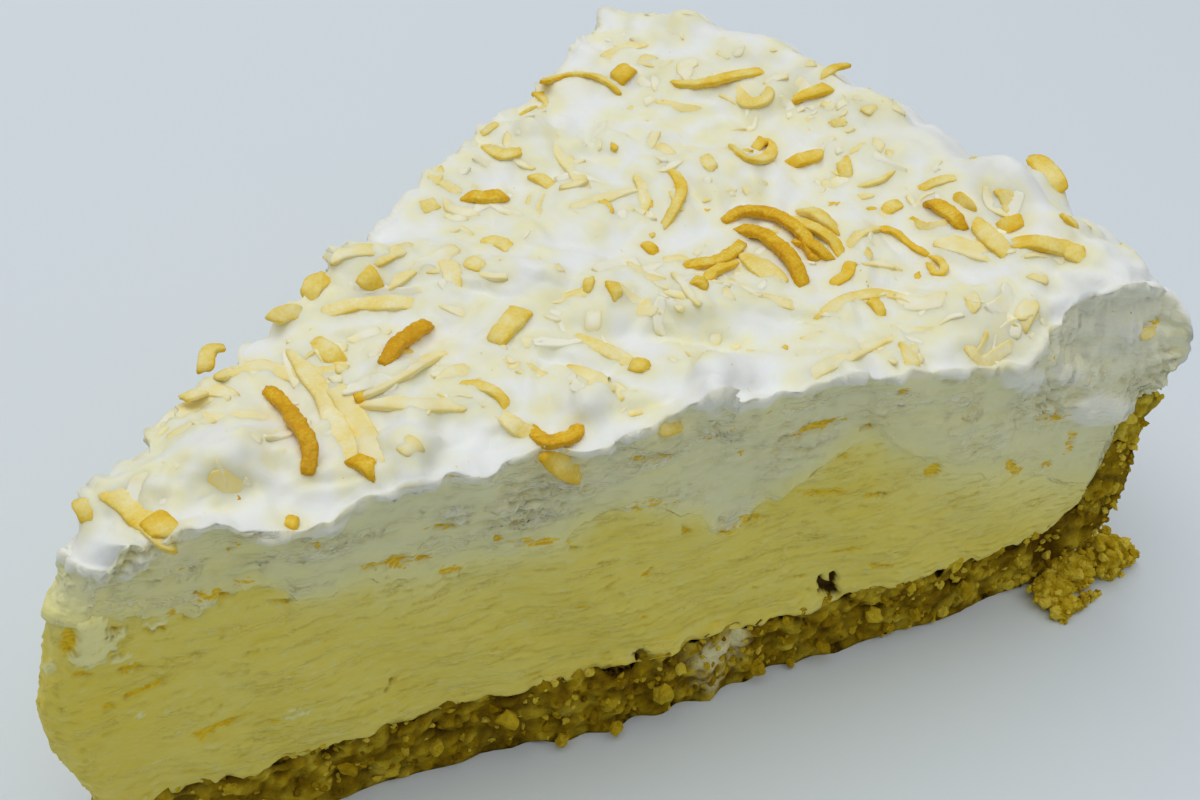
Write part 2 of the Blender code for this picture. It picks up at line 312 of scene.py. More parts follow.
class Shell:
    """A closed skin round the space between two surfaces that share their stations.
    low and high are (NI, NJ, 2) arrays of radius and height; thin patches hidden inside use few columns."""

    def __init__(self, low, high, v, nk, coarse_low, coarse_high, step=8):
        ni, nj = low.shape[:2]
        self.r, self.v, self.z, self.t, self.patch = [], [], [], [], []
        self.count = 0
        self.faces = []
        J = sorted(set(list(range(0, nj, step)) + [nj - 1]))

        def add(rz, vv, t, patch):
            n = rz.reshape(-1, 2).shape[0]
            self.r.append(rz[..., 0].ravel()); self.z.append(rz[..., 1].ravel())
            self.v.append(np.broadcast_to(vv, rz.shape[:-1]).ravel())
            self.t.append(np.broadcast_to(t, rz.shape[:-1]).ravel())
            self.patch.append(np.full(n, patch))
            idx = np.arange(self.count, self.count + n).reshape(rz.shape[:-1])
            self.count += n
            return idx

        def surface(rz, coarse, t, patch):
            idx = -np.ones((ni, nj), int)
            if not coarse:
                return add(rz, v[None, :], t, patch)
            mask = np.zeros((ni, nj), bool)
            mask[:, J] = True
            mask[0, :] = True
            mask[-1, :] = True
            flat = rz[mask]
            vv = np.broadcast_to(v[None, :], (ni, nj))[mask]
            idx[mask] = add(flat, vv, t, patch)
            return idx

        lo = surface(low, coarse_low, 0.0, 0)
        hi = surface(high, coarse_high, 1.0, 1)
        tk = np.linspace(0, 1, nk + 1)[1:-1]

        def between(a, b, vv, patch):
            rz = a[:, None] + (b - a)[:, None] * tk[None, :, None]
            return add(rz, vv, tk[None, :], patch)

        caps = {}
        for name, j, patch in (("near", 0, 2), ("far", nj - 1, 3)):
            mid = between(low[:, j], high[:, j], v[j], patch)
            caps[name] = np.concatenate([lo[:, j:j + 1] if j == 0 else lo[:, nj - 1:nj], mid, hi[:, j:j + 1] if j == 0 else hi[:, nj - 1:nj]], 1)
        ends = {}
        for name, i, patch in (("nose", 0, 4), ("outer", ni - 1, 5)):
            inner = between(low[i, 1:-1], high[i, 1:-1], v[1:-1, None], patch)
            strip = np.concatenate([lo[i, 1:-1, None], inner, hi[i, 1:-1, None]], 1)
            ends[name] = np.concatenate([caps["near"][i][None], strip, caps["far"][i][None]], 0)

        def quads(g, flip):
            a, b, c, d = g[:-1, :-1], g[1:, :-1], g[1:, 1:], g[:-1, 1:]
            q = np.stack([a, b, c, d] if not flip else [a, d, c, b], -1).reshape(-1, 4)
            self.faces.extend(q.tolist())

        def patchwork(g, coarse, flip):
            if not coarse:
                quads(g, flip)
                return
            quads(g[1:-1][:, J], flip)
            for i0, i1 in ((0, 1), (ni - 1, ni - 2)):
                for a, b in zip(J, J[1:]):
                    ring = [g[i1, b], g[i1, a]] + [g[i0, j] for j in range(a, b + 1)]
                    ring = [int(q) for q in ring]
                    up = (i0 == 0)
                    self.faces.append(ring if (up == flip) else ring[::-1])

        patchwork(hi, coarse_high, False)
        patchwork(lo, coarse_low, True)
        quads(caps["near"], False)
        quads(caps["far"], True)
        quads(ends["nose"], True)
        quads(ends["outer"], False)
        self.r, self.v, self.z = np.concatenate(self.r), np.concatenate(self.v), np.concatenate(self.z)
        self.t, self.patch = np.concatenate(self.t), np.concatenate(self.patch)
        self.co = place(self.r, self.v, self.z)
        self.top_index = hi
        self.caps = caps

    def normals(self):
        n = np.zeros_like(self.co)
        quad = np.array([f for f in self.faces if len(f) == 4])
        a, b, c, d = (self.co[quad[:, k]] for k in range(4))
        fn = np.cross(c - a, d - b)
        for k in range(4):
            np.add.at(n, quad[:, k], fn)
        ln = np.linalg.norm(n, axis=1)
        return n / np.maximum(ln, 1e-9)[:, None]

    def object(self, name, attributes):
        return make_object(name, self.co, self.faces, attributes)


def make_object(name, co, faces, attributes=None, smooth_faces=True):
    mesh = bpy.data.meshes.new(name)
    pts = np.array(co, float)
    pts = (pts + np.array([X_SHIFT, 0, 0])) * MM
    mesh.from_pydata(pts.tolist(), [], faces)
    mesh.validate()
    mesh.polygons.foreach_set("use_smooth", np.full(len(mesh.polygons), smooth_faces))
    for key, val in (attributes or {}).items():
        if np.ndim(val) == 2:
            at = mesh.attributes.new(key, "FLOAT_VECTOR", "POINT")
            at.data.foreach_set("vector", np.ascontiguousarray(val, dtype=np.float32).ravel())
        else:
            at = mesh.attributes.new(key, "FLOAT", "POINT")
            at.data.foreach_set("value", np.ascontiguousarray(np.broadcast_to(val, (len(pts),)), dtype=np.float32))
    mesh.update()
    ob = bpy.data.objects.new(name, mesh)
    bpy.context.scene.collection.objects.link(ob)
    return ob


# ------------------------------------------------------------------ the camera, as the photograph was taken (mm from the pie's centre)
F_PX, FRAME_W, FRAME_H = 1700.0, 1200, 800
CAM_AZ, CAM_EL, CAM_ROLL, CAM_DIST, CAM_AIM = -46.3, 41.1, 4.4, 193.2, (67.9, 2.8, 20.0)


def camera_axes():
    az, el, ro = (math.radians(q) for q in (CAM_AZ, CAM_EL, CAM_ROLL))
    back = np.array([math.sin(az) * math.cos(el), -math.cos(az) * math.cos(el), math.sin(el)])
    pos = np.array(CAM_AIM) + back * CAM_DIST
    right = np.cross(-back, [0, 0, 1.0])
    right /= np.linalg.norm(right)
    up = np.cross(right, -back)
    c, s = math.cos(ro), math.sin(ro)
    return pos, c * right + s * up, -s * right + c * up, back


CAM_POS, CAM_RIGHT, CAM_UP, CAM_BACK = camera_axes()


def sight(px, py):
    """Direction in which the camera sees a place of its frame."""
    d = -CAM_BACK + (px - FRAME_W / 2) / F_PX * CAM_RIGHT - (py - FRAME_H / 2) / F_PX * CAM_UP
    return d / np.linalg.norm(d)


def pixel_of(p):
    d = np.asarray(p, float) - CAM_POS
    depth = -(d @ CAM_BACK)
    return FRAME_W / 2 + F_PX * (d @ CAM_RIGHT) / depth, FRAME_H / 2 - F_PX * (d @ CAM_UP) / depth


def blobs(table, px, py, power=3.0):
    """Soft spots given in the frame: middle, half sizes, tilt in degrees (right end down), amount."""
    total = np.zeros(np.shape(px))
    for x, y, rx, ry, tilt, amt in table:
        c, s = math.cos(math.radians(tilt)), math.sin(math.radians(tilt))
        a, b = (px - x) * c + (py - y) * s, -(px - x) * s + (py - y) * c
        total = np.maximum(total, amt * np.exp(-((a / rx) ** 2 + (b / ry) ** 2) ** (power / 2)))
    return total


# ------------------------------------------------------------------ features seen on the near cut: radius, height, half sizes, strength
TORN = ((43.9, 36.0, 6.1, 3.9, 1.0), (36.0, 36.7, 2.9, 1.9, 0.8), (62.6, 43.6, 2.3, 3.1, 1.0), (61.6, 39.1, 6.5, 3.3, 0.6),
        (71.4, 35.1, 6.9, 3.5, 0.6), (109.2, 37.8, 9.9, 6.5, 1.5), (101.9, 32.2, 5.9, 4.5, 1.0), (24.8, 36.8, 5.6, 1.5, 0.6),
        (4.7, 41.4, 4.0, 2.8, 0.8), (10.8, 38.4, 1.3, 1.0, 0.6), (64.7, 25.5, 2.5, 2.1, 0.8), (80.2, 31.0, 5.4, 3.6, 0.5),
        (53.9, 38.6, 5.2, 2.1, 0.6), (91.4, 37.8, 7.3, 2.0, 0.5), (116.0, 30.9, 4.2, 4.7, 1.0))
# golden torn hollows of the near cut, in the frame
PALE_BITS = ((154, 624, 13, 3, -4, 1.0), (125, 658, 12, 3, -18, 1.0), (297, 713, 12, 4, -20, 1.0), (50, 666, 5, 6, 0, 0.9), (141, 714, 6, 4, 0, 0.9))
GOLD = ((67, 641, 8, 14, 8, 1.3), (112, 631, 10, 3.5, -5, 0.9), (153, 630, 11, 2, -3, 0.9), (84, 675, 15, 3, -3, 0.8), (108, 707, 8, 3, 0, 0.7), (203, 735, 12, 4, -15, 1.1),
        (134, 694, 13, 3, -15, 1.0), (80, 588, 9, 2.5, -8, 0.6), (172, 612, 8, 3, -5, 1.0), (209, 592, 18, 4, -12, 1.0), (242, 577, 12, 4, -20, 0.6), (280, 602, 18, 2.5, 5, 0.8),
        (178, 568, 9, 4, 0, 0.5), (232, 545, 13, 5, -15, 0.5), (315, 545, 14, 4, -8, 0.6), (370, 567, 12, 4, -5, 0.9), (396, 563, 18, 7, -8, 1.0),
        (424, 560, 9, 5, -12, 0.8), (450, 570, 14, 4, -6, 1.0), (447, 527, 20, 3, -8, 0.9), (451, 478, 13, 3, -5, 0.6), (497, 539, 6, 3, 0, 1.0),
        (540, 542, 36, 4.5, -2, 0.65), (575, 548, 8, 3, 20, 0.8), (650, 459, 36, 3.5, -10, 0.6), (637, 508, 8, 6, 40, 0.6), (660, 503, 26, 4, 3, 0.55),
        (687, 530, 5, 4, 0, 0.9), (724, 532, 7, 2.5, 0, 1.0), (745, 520, 18, 4, -25, 0.8), (815, 428, 30, 5, -16, 1.0), (867, 427, 9, 3.2, -5, 1.0),
        (843, 457, 7, 4.5, 0, 0.8), (932, 471, 12, 5.5, -30, 1.0), (1013, 468, 9, 6, 40, 1.0), (1046, 464, 6, 4, -15, 0.9), (742, 452, 12, 4, 0, 0.5),
        (718, 436, 20, 5, -20, 0.45), (1050, 417, 18, 7, -5, 0.75), (1071, 440, 6, 15, 10, 0.7), (903, 391, 7, 5, 0, 0.8), (963, 418, 5, 2.5, 0, 0.7),
        (286, 524, 6, 5, 0, 0.7), (555, 455, 22, 9, 0, 0.55), (770, 415, 7, 5, 0, 0.5))
# golden streaks of the custard, in the frame
SAFFRON = ((822, 493, 36, 4, 0, 0.75), (880, 495, 17, 2.5, -3, 0.8), (878, 480, 7, 2, 0, 0.6), (881, 567, 15, 3.5, -2, 0.9), (903, 553, 8, 2, 0, 0.6),
           (798, 578, 13, 3, -8, 0.7), (847, 551, 22, 2.5, -8, 0.7), (66, 641, 7, 13, 0, 1.0), (114, 632, 10, 4, -5, 1.0), (130, 669, 17, 3.5, -14, 1.0),
           (150, 688, 26, 3, -22, 1.0), (83, 675, 16, 3, -5, 0.8), (220, 725, 30, 3.5, -20, 1.0), (269, 722, 20, 3, -4, 0.6), (157, 629, 10, 1.8, 0, 1.0),
           (648, 573, 11, 2.5, -38, 0.8), (606, 563, 18, 2, -12, 0.7), (581, 608, 12, 2, -8, 0.6), (608, 587, 12, 2, -25, 0.6), (643, 618, 5, 3, 0, 0.8),
           (719, 606, 9, 5, 0, 0.4), (116, 655, 10, 2, -8, 0.7), (195, 655, 16, 2, -14, 0.6), (250, 652, 14, 2, -18, 0.55), (330, 640, 18, 2, -12, 0.55),
           (425, 640, 14, 2, -14, 0.4), (300, 690, 18, 2, -14, 0.4), (900, 520, 20, 2, -10, 0.35), (700, 560, 16, 2, -18, 0.35))
# soft lumps and drips of white cream that stand out of the near cut, in the frame, with their reach in mm
ROLLS = ((1100, 408, 34, 15, -8, 1.5), (1068, 376, 18, 9, 0, 1.0), (1022, 378, 26, 15, 10, 0.9), (1140, 340, 16, 9, -30, 0.9), (137, 564, 24, 8, -35, 1.0),
         (268, 536, 20, 5.5, -12, 0.8), (60, 600, 9, 34, 5, 0.8), (405, 438, 22, 34, 0, 1.0), (600, 418, 44, 13, -18, 0.7), (712, 392, 20, 22, 0, 1.1),
         (840, 372, 42, 9, -12, 0.7), (315, 554, 18, 4, -10, 0.6), (452, 448, 20, 12, -10, 0.6), (640, 432, 22, 7, -12, 0.5), (1000, 438, 12, 16, 10, 0.4),
         (95, 565, 22, 20, 0, 0.4))
# humps and grooves of the open top, in the frame, in mm
HUMPS = ((408, 452, 26, 26, 0, 1.5), (225, 462, 46, 22, -8, 0.9), (598, 408, 22, 14, -10, 1.2), (712, 376, 20, 14, 0, 1.2), (640, 400, 26, 8, -15, 0.7),
         (850, 360, 40, 8, -8, 0.6), (505, 425, 22, 10, 0, 0.6), (940, 345, 30, 10, -5, 0.5), (1120, 262, 34, 7, 28, 0.9), (1150, 236, 30, 7, 28, 0.8),
         (1085, 290, 26, 8, 15, 0.7), (470, 345, 30, 10, 10, 0.7), (535, 270, 26, 9, 15, 0.6), (690, 310, 30, 8, 10, 0.7), (620, 150, 30, 9, 15, 0.6),
         (720, 130, 26, 8, 10, 0.6), (930, 140, 30, 9, 15, 0.7), (1000, 290, 26, 9, 15, 0.6), (160, 480, 22, 14, -20, 0.7), (350, 330, 22, 8, 0, 0.5))
GROOVES = ((270, 462, 22, 10, 30, 0.9), (580, 362, 42, 6, 17, 0.9), (715, 342, 70, 6, 6, 0.9), (390, 470, 8, 14, 0, 0.5), (440, 420, 10, 16, 10, 0.6),
           (1150, 288, 40, 5, 15, 0.8), (1110, 245, 40, 4, 28, 0.6), (660, 400, 12, 10, 0, 0.5), (560, 240, 26, 6, 12, 0.6), (800, 320, 40, 5, 8, 0.7),
           (480, 290, 30, 5, 12, 0.6), (900, 290, 40, 5, 8, 0.6), (770, 385, 22, 7, 0, 0.7), (330, 480, 30, 6, -8, 0.5))
# a flat torn shelf of the cream and the flap that hangs over the custard at the tip
SHELF = ((873, 390), (892, 421), (915, 421), (985, 414), (1012, 420), (1031, 444), (1020, 452), (960, 462), (915, 455), (890, 440), (870, 415))
FLAP = ((66, 600), (77, 621), (77, 648), (69, 654), (74, 664), (88, 666), (97, 663), (107, 655), (113, 652), (114, 640), (127, 637),
        (131, 629), (122, 628), (105, 636), (104, 616), (112, 600))
# a notch and small pits dug into the custard, in the frame; they are painted nearly black as painted shade
NOTCH = ((820, 592), (818, 578), (823, 577), (826, 583), (830, 581), (831, 573), (837, 573), (836, 583), (840, 594), (830, 596))
PITS = ((829, 584, 3, 3, 0, 0.8), (386, 690, 3, 3, 0, 0.8), (392, 683, 2.5, 2.5, 0, 0.5), (775, 630, 9, 2.5, -18, 0.8), (640, 655, 7, 2.5, -18, 0.6),
        (560, 683, 7, 2.5, -18, 0.6))
# shaded hollows of the crust, in the frame: dug in and painted dark as painted shade
HOLLOW = ((1048, 546, 14, 26, 18, 1.0), (1072, 512, 9, 12, 20, 0.6), (680, 668, 16, 4, -18, 0.7), (760, 640, 12, 4, -20, 0.6), (880, 605, 20, 4, -16, 0.6),
          (950, 586, 18, 4, -14, 0.7), (460, 735, 16, 4, -14, 0.6), (330, 757, 14, 4, -12, 0.6))
DEEP = ((2.1, 24.6, 5.4, 8.0, 0.7), (10.8, 16.0, 2.3, 1.2, 0.8), (6.6, 23.5, 2.2, 0.8, 0.7), (5.3, 27.5, 2.6, 0.7, 0.6),
        (15.0, 15.6, 2.9, 0.9, 0.4), (9.5, 34.1, 1.2, 0.6, 1.0), (13.0, 34.6, 1.9, 0.6, 1.0), (7.6, 32.5, 1.4, 0.5, 0.6),
        (101.1, 10.9, 5.6, 1.4, 0.6), (83.0, 16.2, 5.1, 1.0, 0.3), (78.8, 25.5, 7.3, 0.9, 0.35), (29.7, 14.5, 1.6, 2.0, 0.6),
        (55.8, 14.6, 2.4, 1.2, 0.5), (50.0, 14.4, 4.0, 1.2, 0.4), (60.3, 27.1, 0.9, 0.9, 0.7), (64.8, 24.8, 0.9, 0.8, 0.8))
OVERLAP = 0.9
SOFT_SEAM = ((0, 0.5), (7, 0.35), (10, 0.05), (17, 0.05), (21, 0.5), (31, 1.0), (48, 1.0), (51, 0.4), (55, 0.6), (62, 0.5), (66, 0.2), (76, 0.4), (80, 0.7), (84, 1.0), (108, 1.0))


def spots(table, s, z, power=2.0):
    total = 0.0
    for cs, cz, rs, rz, amt in table:
        total = np.maximum(total, amt * np.exp(-(((s - cs) / rs) ** 2 + ((z - cz) / rz) ** 2) ** (power / 2)))
    return total


def inside(poly, x, y):
    """Signed closeness to a polygon: positive inside, in mm."""
    x, y = np.asarray(x, float), np.asarray(y, float)
    odd = np.zeros(x.shape, bool)
    dist = np.full(x.shape, 1e9)
    n = len(poly)
    for k in range(n):
        (x0, y0), (x1, y1) = poly[k], poly[(k + 1) % n]
        cross = ((y0 > y) != (y1 > y)) & (x < (x1 - x0) * (y - y0) / ((y1 - y0) or 1e-9) + x0)
        odd ^= cross
        t = np.clip(((x - x0) * (x1 - x0) + (y - y0) * (y1 - y0)) / ((x1 - x0) ** 2 + (y1 - y0) ** 2), 0, 1)
        dist = np.minimum(dist, np.hypot(x - x0 - t * (x1 - x0), y - y0 - t * (y1 - y0)))
    return np.where(odd, dist, -dist)


def sheet(r, v, zfun):
    R, V = np.meshgrid(r, v, indexing="ij")
    x, y = plan(R, V)
    return np.stack([R, zfun(R, V, x, y)], -1)


def ctrl(*cols):
    return np.stack([np.stack([np.broadcast_to(r, cols[-1][0].shape), np.broadcast_to(z, cols[-1][0].shape)], -1) for r, z in cols])


def floor_ctrl(v, lift):
    R = np.full_like(v, 104.4)
    x, y = plan(R, v)
    out = [(R, crust_top(x, y) + lift)]
    for dz in (0.5, 2.3, 4.6):
        z = H_BASE + dz
        out.append((wall_inner(z, v) - (2.2 if dz < 1 else 0.0) - lift, np.full_like(v, z + lift * (1 if dz < 1 else 0))))
    return out


def seam_ctrl(v, lift):
    R = np.full_like(v, 104.4)
    x, y = plan(R, v)
    out = [(R, custard_top(R, v, x, y) + lift)]
    for z, back in ((H_SEAM_WALL + 1.3, 3.1), (H_SEAM_WALL + 0.5, 1.6), (H_SEAM_WALL, 0.0)):
        out.append((wall_inner(z, v) - back, np.full_like(v, z + lift)))
    return out


def wall_ctrl(v, out):
    top = rim_height(v)
    c = [(wall_inner(z, v) - out, np.full_like(v, z)) for z in (18.6, 22.0, 25.4)]
    c.append((wall_inner(top, v) - out, top - 0.4 + out))
    c.append((np.full_like(v, R_RIM - 1.9), top + 0.3 + out))
    return c


def near_weight(sh):
    return (sh.patch == 2) | ((sh.patch != 3) & (sh.v < -0.999))


def cut_field(s, z, v):
    """Slight waviness that runs through both fillings on the cuts."""
    return (0.16 * noise(P3(s / 11.0, z / 4.0, v * 4), 85) + 0.08 * noise(P3(s / 5.5, z / 0.8, v * 4), 81)
            + 0.04 * noise(P3(s / 2.2, z / 0.5, v * 4), 82))


def ledges(s, z, v, step, seed):
    """Thin shelves that run along a cut: each leans out downwards and ends in a small undercut, 0 to 1."""
    t = (z + 1.0 * noise(P3(s / 6.5, z / 3.5, v * 3), seed) + 0.45 * noise(P3(s / 1.7, z / 1.3, v * 3), seed + 1)) / step
    f = t - np.floor(t)
    return np.where(f < 0.16, f / 0.16, 1 - (f - 0.16) / 0.84)


# ------------------------------------------------------------------ whipped cream
def build_cream():
    v = np.linspace(-1, 1, 135)
    r = np.concatenate([np.linspace(0, 16, 52), np.linspace(16, 104.4, 255)[1:]])
    n2 = 62
    low = np.concatenate([sheet(r, v, lambda R, V, x, y: custard_top(R, V, x, y) - OVERLAP),
                          resample(ctrl(*(seam_ctrl(v, -OVERLAP) + wall_ctrl(v, -0.25))), n2)])
    high_grid = sheet(r, v, lambda R, V, x, y: cream_top(R, x, y))
    ups = []
    for rr in (104.4, 105.8, 107.2, 108.4, 109.6, 110.7, 111.8, 112.8, 113.8):
        R = np.full_like(v, rr)
        x, y = plan(R, v)
        ups.append((R, cream_top(R, x, y)))
    sc = scallop(v)
    lobe = 0.5 * np.cos(np.degrees(v * edge_angle(118.0)) * 1.9) + 0.5 * noise(P3(v * 9.0, 0.3), 41)
    reach = R_CREAM + sc + 0.35 * lobe
    rim_z = ups[-1][1]
    ups += [(115.6 + 0.4 * sc, rim_z - 0.9), (reach - 1.2, rim_z - 3.0), (reach, rim_z - 6.6), (reach - 1.3, np.full_like(v, 30.2))]
    high = np.concatenate([high_grid, resample(ctrl(*ups), n2)])
    sh = Shell(low, high, v, 40, True, False)
    nrm = sh.normals()
    p, s, z = sh.co.copy(), sh.r, sh.co[:, 2]
    near, far, nose, outer, top = sh.patch == 2, sh.patch == 3, sh.patch == 4, sh.patch == 5, sh.patch == 1
    x, y = p[:, 0], p[:, 1]
    ztop = cream_top(s, x, y)
    below = np.clip(ztop - z, 0, 40)
    face_n = np.where(near | (sh.v < -0.995), 1.0, 0.0)
    face_f = np.where(far | (sh.v > 0.995), 1.0, 0.0)
    cap = np.maximum(np.maximum(face_n, face_f), np.where(nose | (s < 0.2), 1.0, 0.0))
    px, py = pixel_of(p)
    torn = np.where(face_n > 0, spots(TORN, s, z), 0.0)
    wild = smooth(0.12, 0.55, noise(P3(s / 9.0, z / 4.5, sh.v * 3), 51))
    torn = np.maximum(torn, np.where(face_f > 0, 0.9 * wild, 0.0))
    torn = np.maximum(torn, 0.45 * wild * face_n)
    torn = torn * smooth(0.0, 0.8, torn + 0.4 * noise(p / 2.0, 52))
    seam = custard_top(s, sh.v, x, y)
    soft_n = along(SOFT_SEAM, s)
    soft_amt = np.where(face_n > 0, soft_n, np.clip(0.5 + 0.7 * noise(P3(s / 12.0, 2.0, sh.v), 68), 0, 1))
    above = z - seam
    free = smooth(0.0, 1.1, above)
    patchy = smooth(-0.15, 0.40, noise(P3(s / 4.0, z / 1.8, sh.v * 3), 53) + 0.55 * torn)
    shelf = ledges(s, z, sh.v, 1.35, 54) * patchy
    fine = ledges(s, z, sh.v, 0.72, 76) * smooth(0.0, 0.5, noise(P3(s / 2.2, z / 1.2, sh.v * 3), 77) + 0.3 * torn)
    sponge = -0.60 * np.abs(fbm(P3(s / 2.9, z / 1.6, sh.v * 6), 3, 55)) - 0.40 * smooth(0.05, 0.45, noise(p / 0.9, 56)) + 0.40 * noise(P3(s / 4.5, z / 2.5, sh.v), 57) + 0.15
    gold = np.where(face_n > 0, blobs(GOLD, px + 3.0 * noise(P3(s / 1.2, z / 1.2), 58), py + 2.0 * noise(P3(s / 0.9, z / 0.9, 4.0), 58), 3.0), 0.0)
    body = torn * sponge * 1.4 + (0.40 + 0.70 * torn) * (shelf - 0.35 * patchy) + 0.30 * (fine - 0.3) - 0.45 * smooth(0.35, 0.75, gold)
    body = body + 0.10 * (0.4 + torn) * noise(p / 0.6, 71)
    dis = cap * (cut_field(s, z, sh.v) + free * body)
    # where the seam is soft the cream runs into the custard, elsewhere it hangs over it in a torn lip
    hang = (1 - soft_amt) * smooth(-0.25, 0.35, noise(P3(s / 2.4, 3.0, sh.v), 72) + 0.25 - soft_amt)
    dis += cap * (-(0.30 - 0.14 * np.clip(soft_amt, 0, 1)) * (1 - hang) * smooth(-0.45, -0.88, above) + hang * 0.80 * np.exp(-(np.maximum(above + 0.45, 0) / 0.9) ** 2))
    # lumps, drips and a torn shelf
    rag = noise(P3(s / 1.1, z / 1.1, 2.0), 73)
    roll = np.where(face_n > 0, blobs(ROLLS, px + 3.0 * rag, py + 3.0 * noise(P3(s / 1.3, z / 1.3, 7.0), 73), 4.0), 0.0) * smooth(-0.2, 0.8, above)
    plate = np.where(face_n > 0, smooth(-2.0, 2.0, inside(SHELF, px + 3.0 * rag, py + 2.0 * rag)), 0.0)
    dis += roll * (0.8 + 0.35 * noise(p / 2.2, 99)) + 0.45 * plate
    drop = 0.6 + 1.6 * noise(P3(s / 5.5, 2.2, sh.v * 3), 79) + 0.9 * noise(P3(s / 1.9, 5.2, sh.v * 3), 80)
    over = cap * smooth(0.35, -0.35, below - np.maximum(drop, 0.0)) * smooth(0.0, 0.7, drop)
    dis += 0.50 * over
    # the open top: fine soft ripples
    nd, fd = np.maximum(near_dist(x, y), 0), np.maximum(far_dist(x, y), 0)
    t_amt = top * smooth(0.0, 1.2, np.minimum(nd, fd))
    hump = np.where(top, blobs(HUMPS, px + 11.0 * noise(P3(x / 3.6, y / 3.6), 113) + 5.0 * noise(P3(x / 1.6, y / 1.6), 118), py + 9.0 * noise(P3(x / 3.6, y / 3.6), 114), 2.6)
                    - blobs(GROOVES, px + 8.0 * noise(P3(x / 3.6, y / 3.6), 115), py + 5.0 * noise(P3(x / 3.6, y / 3.6), 116), 2.5), 0.0)
    dis += hump * smooth(0.0, 1.6, np.minimum(nd, fd) + 0.8)
    dis += t_amt * (0.08 * noise(p / 1.1, 61) + 0.12 * noise(p / 2.3, 62))
    edge_out = smooth(112, 116, s) * top
    dis += edge_out * (0.45 * noise(p / 3.5, 63) - 0.45 * np.abs(noise(P3(np.degrees(np.arctan2(y, x)) / 2.6, z / 11.0), 64)) + 0.2)
    # fluffy torn corner at the outer end of the near cut
    corner = spots(((111.0, 38.0, 9.5, 7.5, 1.0),), s, z) * smooth(6.0, 0.0, near_dist(x, y))
    crag = ledges(s, z, sh.v, 2.1, 65)
    dis -= 0.75 * corner * cap * free * body
    dis += corner * (0.35 * (crag - 0.45) + 0.9 * noise(P3(s / 3.4, z / 2.6, y / 3.4), 66) + 0.5 * np.abs(noise(p / 1.7, 78)) + 0.25 * noise(p / 0.9, 98))
    moved = p + nrm * dis[:, None]
    # the crest of each cut bulges out in soft lumps, and at the outer corner it leans back
    out_n, out_f = np.array([-math.sin(BETA), -math.cos(BETA), 0.0]), np.array([-math.sin(BETA), math.cos(BETA), 0.0])
    for k, (face, dist, out) in enumerate(((face_n, nd, out_n), (face_f, fd, out_f))):
        big = 1.1 * np.maximum(0, noise(P3(s / 4.6, z / 6.0, 3.0 * k), 59)) + 0.55 * noise(P3(s / 2.2, z / 2.4, 5.0 * k), 60) + 0.10
        if k:
            big = big * 1.25
        reach_in = np.where(face > 0, np.exp(-(below / 2.2) ** 2), np.where(top, np.exp(-(dist / 1.8) ** 2), 0.0))
        moved = moved + out * (big * reach_in * smooth(0.0, 4.0, s))[:, None]
    fluff = np.maximum(np.clip(1.3 * corner, 0, 1), np.maximum(0.8 * smooth(0.25, 0.7, roll), 0.6 * over))
    lean = smooth(96, 106, s) * smooth(119.5, 117.5, s) * smooth(30.5, 40.5, z) * np.where(face_n > 0, 1.0, np.where(top, np.exp(-nd / 7.5), 0.0))
    moved = moved - out_n * (3.2 * lean)[:, None]
    sh.co = moved
    white = np.clip(np.maximum(np.maximum(0.85 * smooth(0.25, 0.7, roll), 0.6 * over), 0.5 * corner * smooth(38.0, 41.0, z + 1.5 * noise(p / 2.0, 74))), 0, 1)
    # the yellower cut colour follows the face turned away from the light: partly the cream's own colour on the cut,
    # partly painted shade; lumps, drips and the fluffy corner keep the top colour
    cut = cap * smooth(0.1, 1.3, below + 0.8 * noise(P3(s / 2.2, z / 1.6, sh.v), 67)) * (1 - white)
    cut = cut * (1 - np.clip(0.75 * corner, 0, 1))
    tip = smooth(31.0, 14.0, s) * np.where(face_n > 0, 1.0, 0.0)
    yellow = cap * np.exp(-np.maximum(above, 0) / (0.30 + 2.6 * np.maximum(soft_amt, 0.8 * tip)) * 1.1)
    yellow = np.maximum(yellow, cap * 0.45 * smooth(0.1, 0.6, noise(P3(s / 8.0, z / 2.2, sh.v), 69)) * smooth(9.0, 1.0, above))
    yellow = np.maximum(yellow, 0.95 * tip * smooth(9.0, 2.0, above) * (0.75 + 0.5 * noise(p / 3.0, 96))) * (1 - 0.8 * smooth(0.25, 0.7, roll))
    streak = cap * smooth(0.25, 0.7, noise(P3(s / 5.0, z / 0.7, sh.v), 70)) * 0.5
    # painted shade in the undercut under each ledge of torn cream, laid on in the golden colour of the torn hollows
    under = smooth(0.75, 0.98, 1 - np.abs(shelf - 0.06)) * patchy
    gold = np.maximum(gold, 0.50 * cap * under * np.clip(torn + 0.2, 0, 1) * smooth(-0.1, 0.5, noise(p / 2.5, 75)))
    grainy = P3(s, z, 3.0 * sh.v + 0.15 * y)
    tornc = np.clip(torn, 0, 1)
    # painted shade in the recesses of the cut: a darker, warmer colour where the surface is pressed in
    dent_shade = cap * smooth(0.06, 0.42, -free * body) * (1 - fluff)
    where = cap * np.maximum(smooth(0.1, 0.6, torn), 0.8 * smooth(0.0, 0.3, noise(P3(s / 7.0, z / 2.6, sh.v * 3), 124))) * (1 - 0.88 * np.clip(fluff, 0, 1))
    return sh.object("cream_top", {"dent_shade": dent_shade, "where": where, "cut": cut, "yellow": yellow, "gold": gold, "torn": tornc, "fluff": fluff, "streak": streak, "cap": cap, "run": grainy}), sh


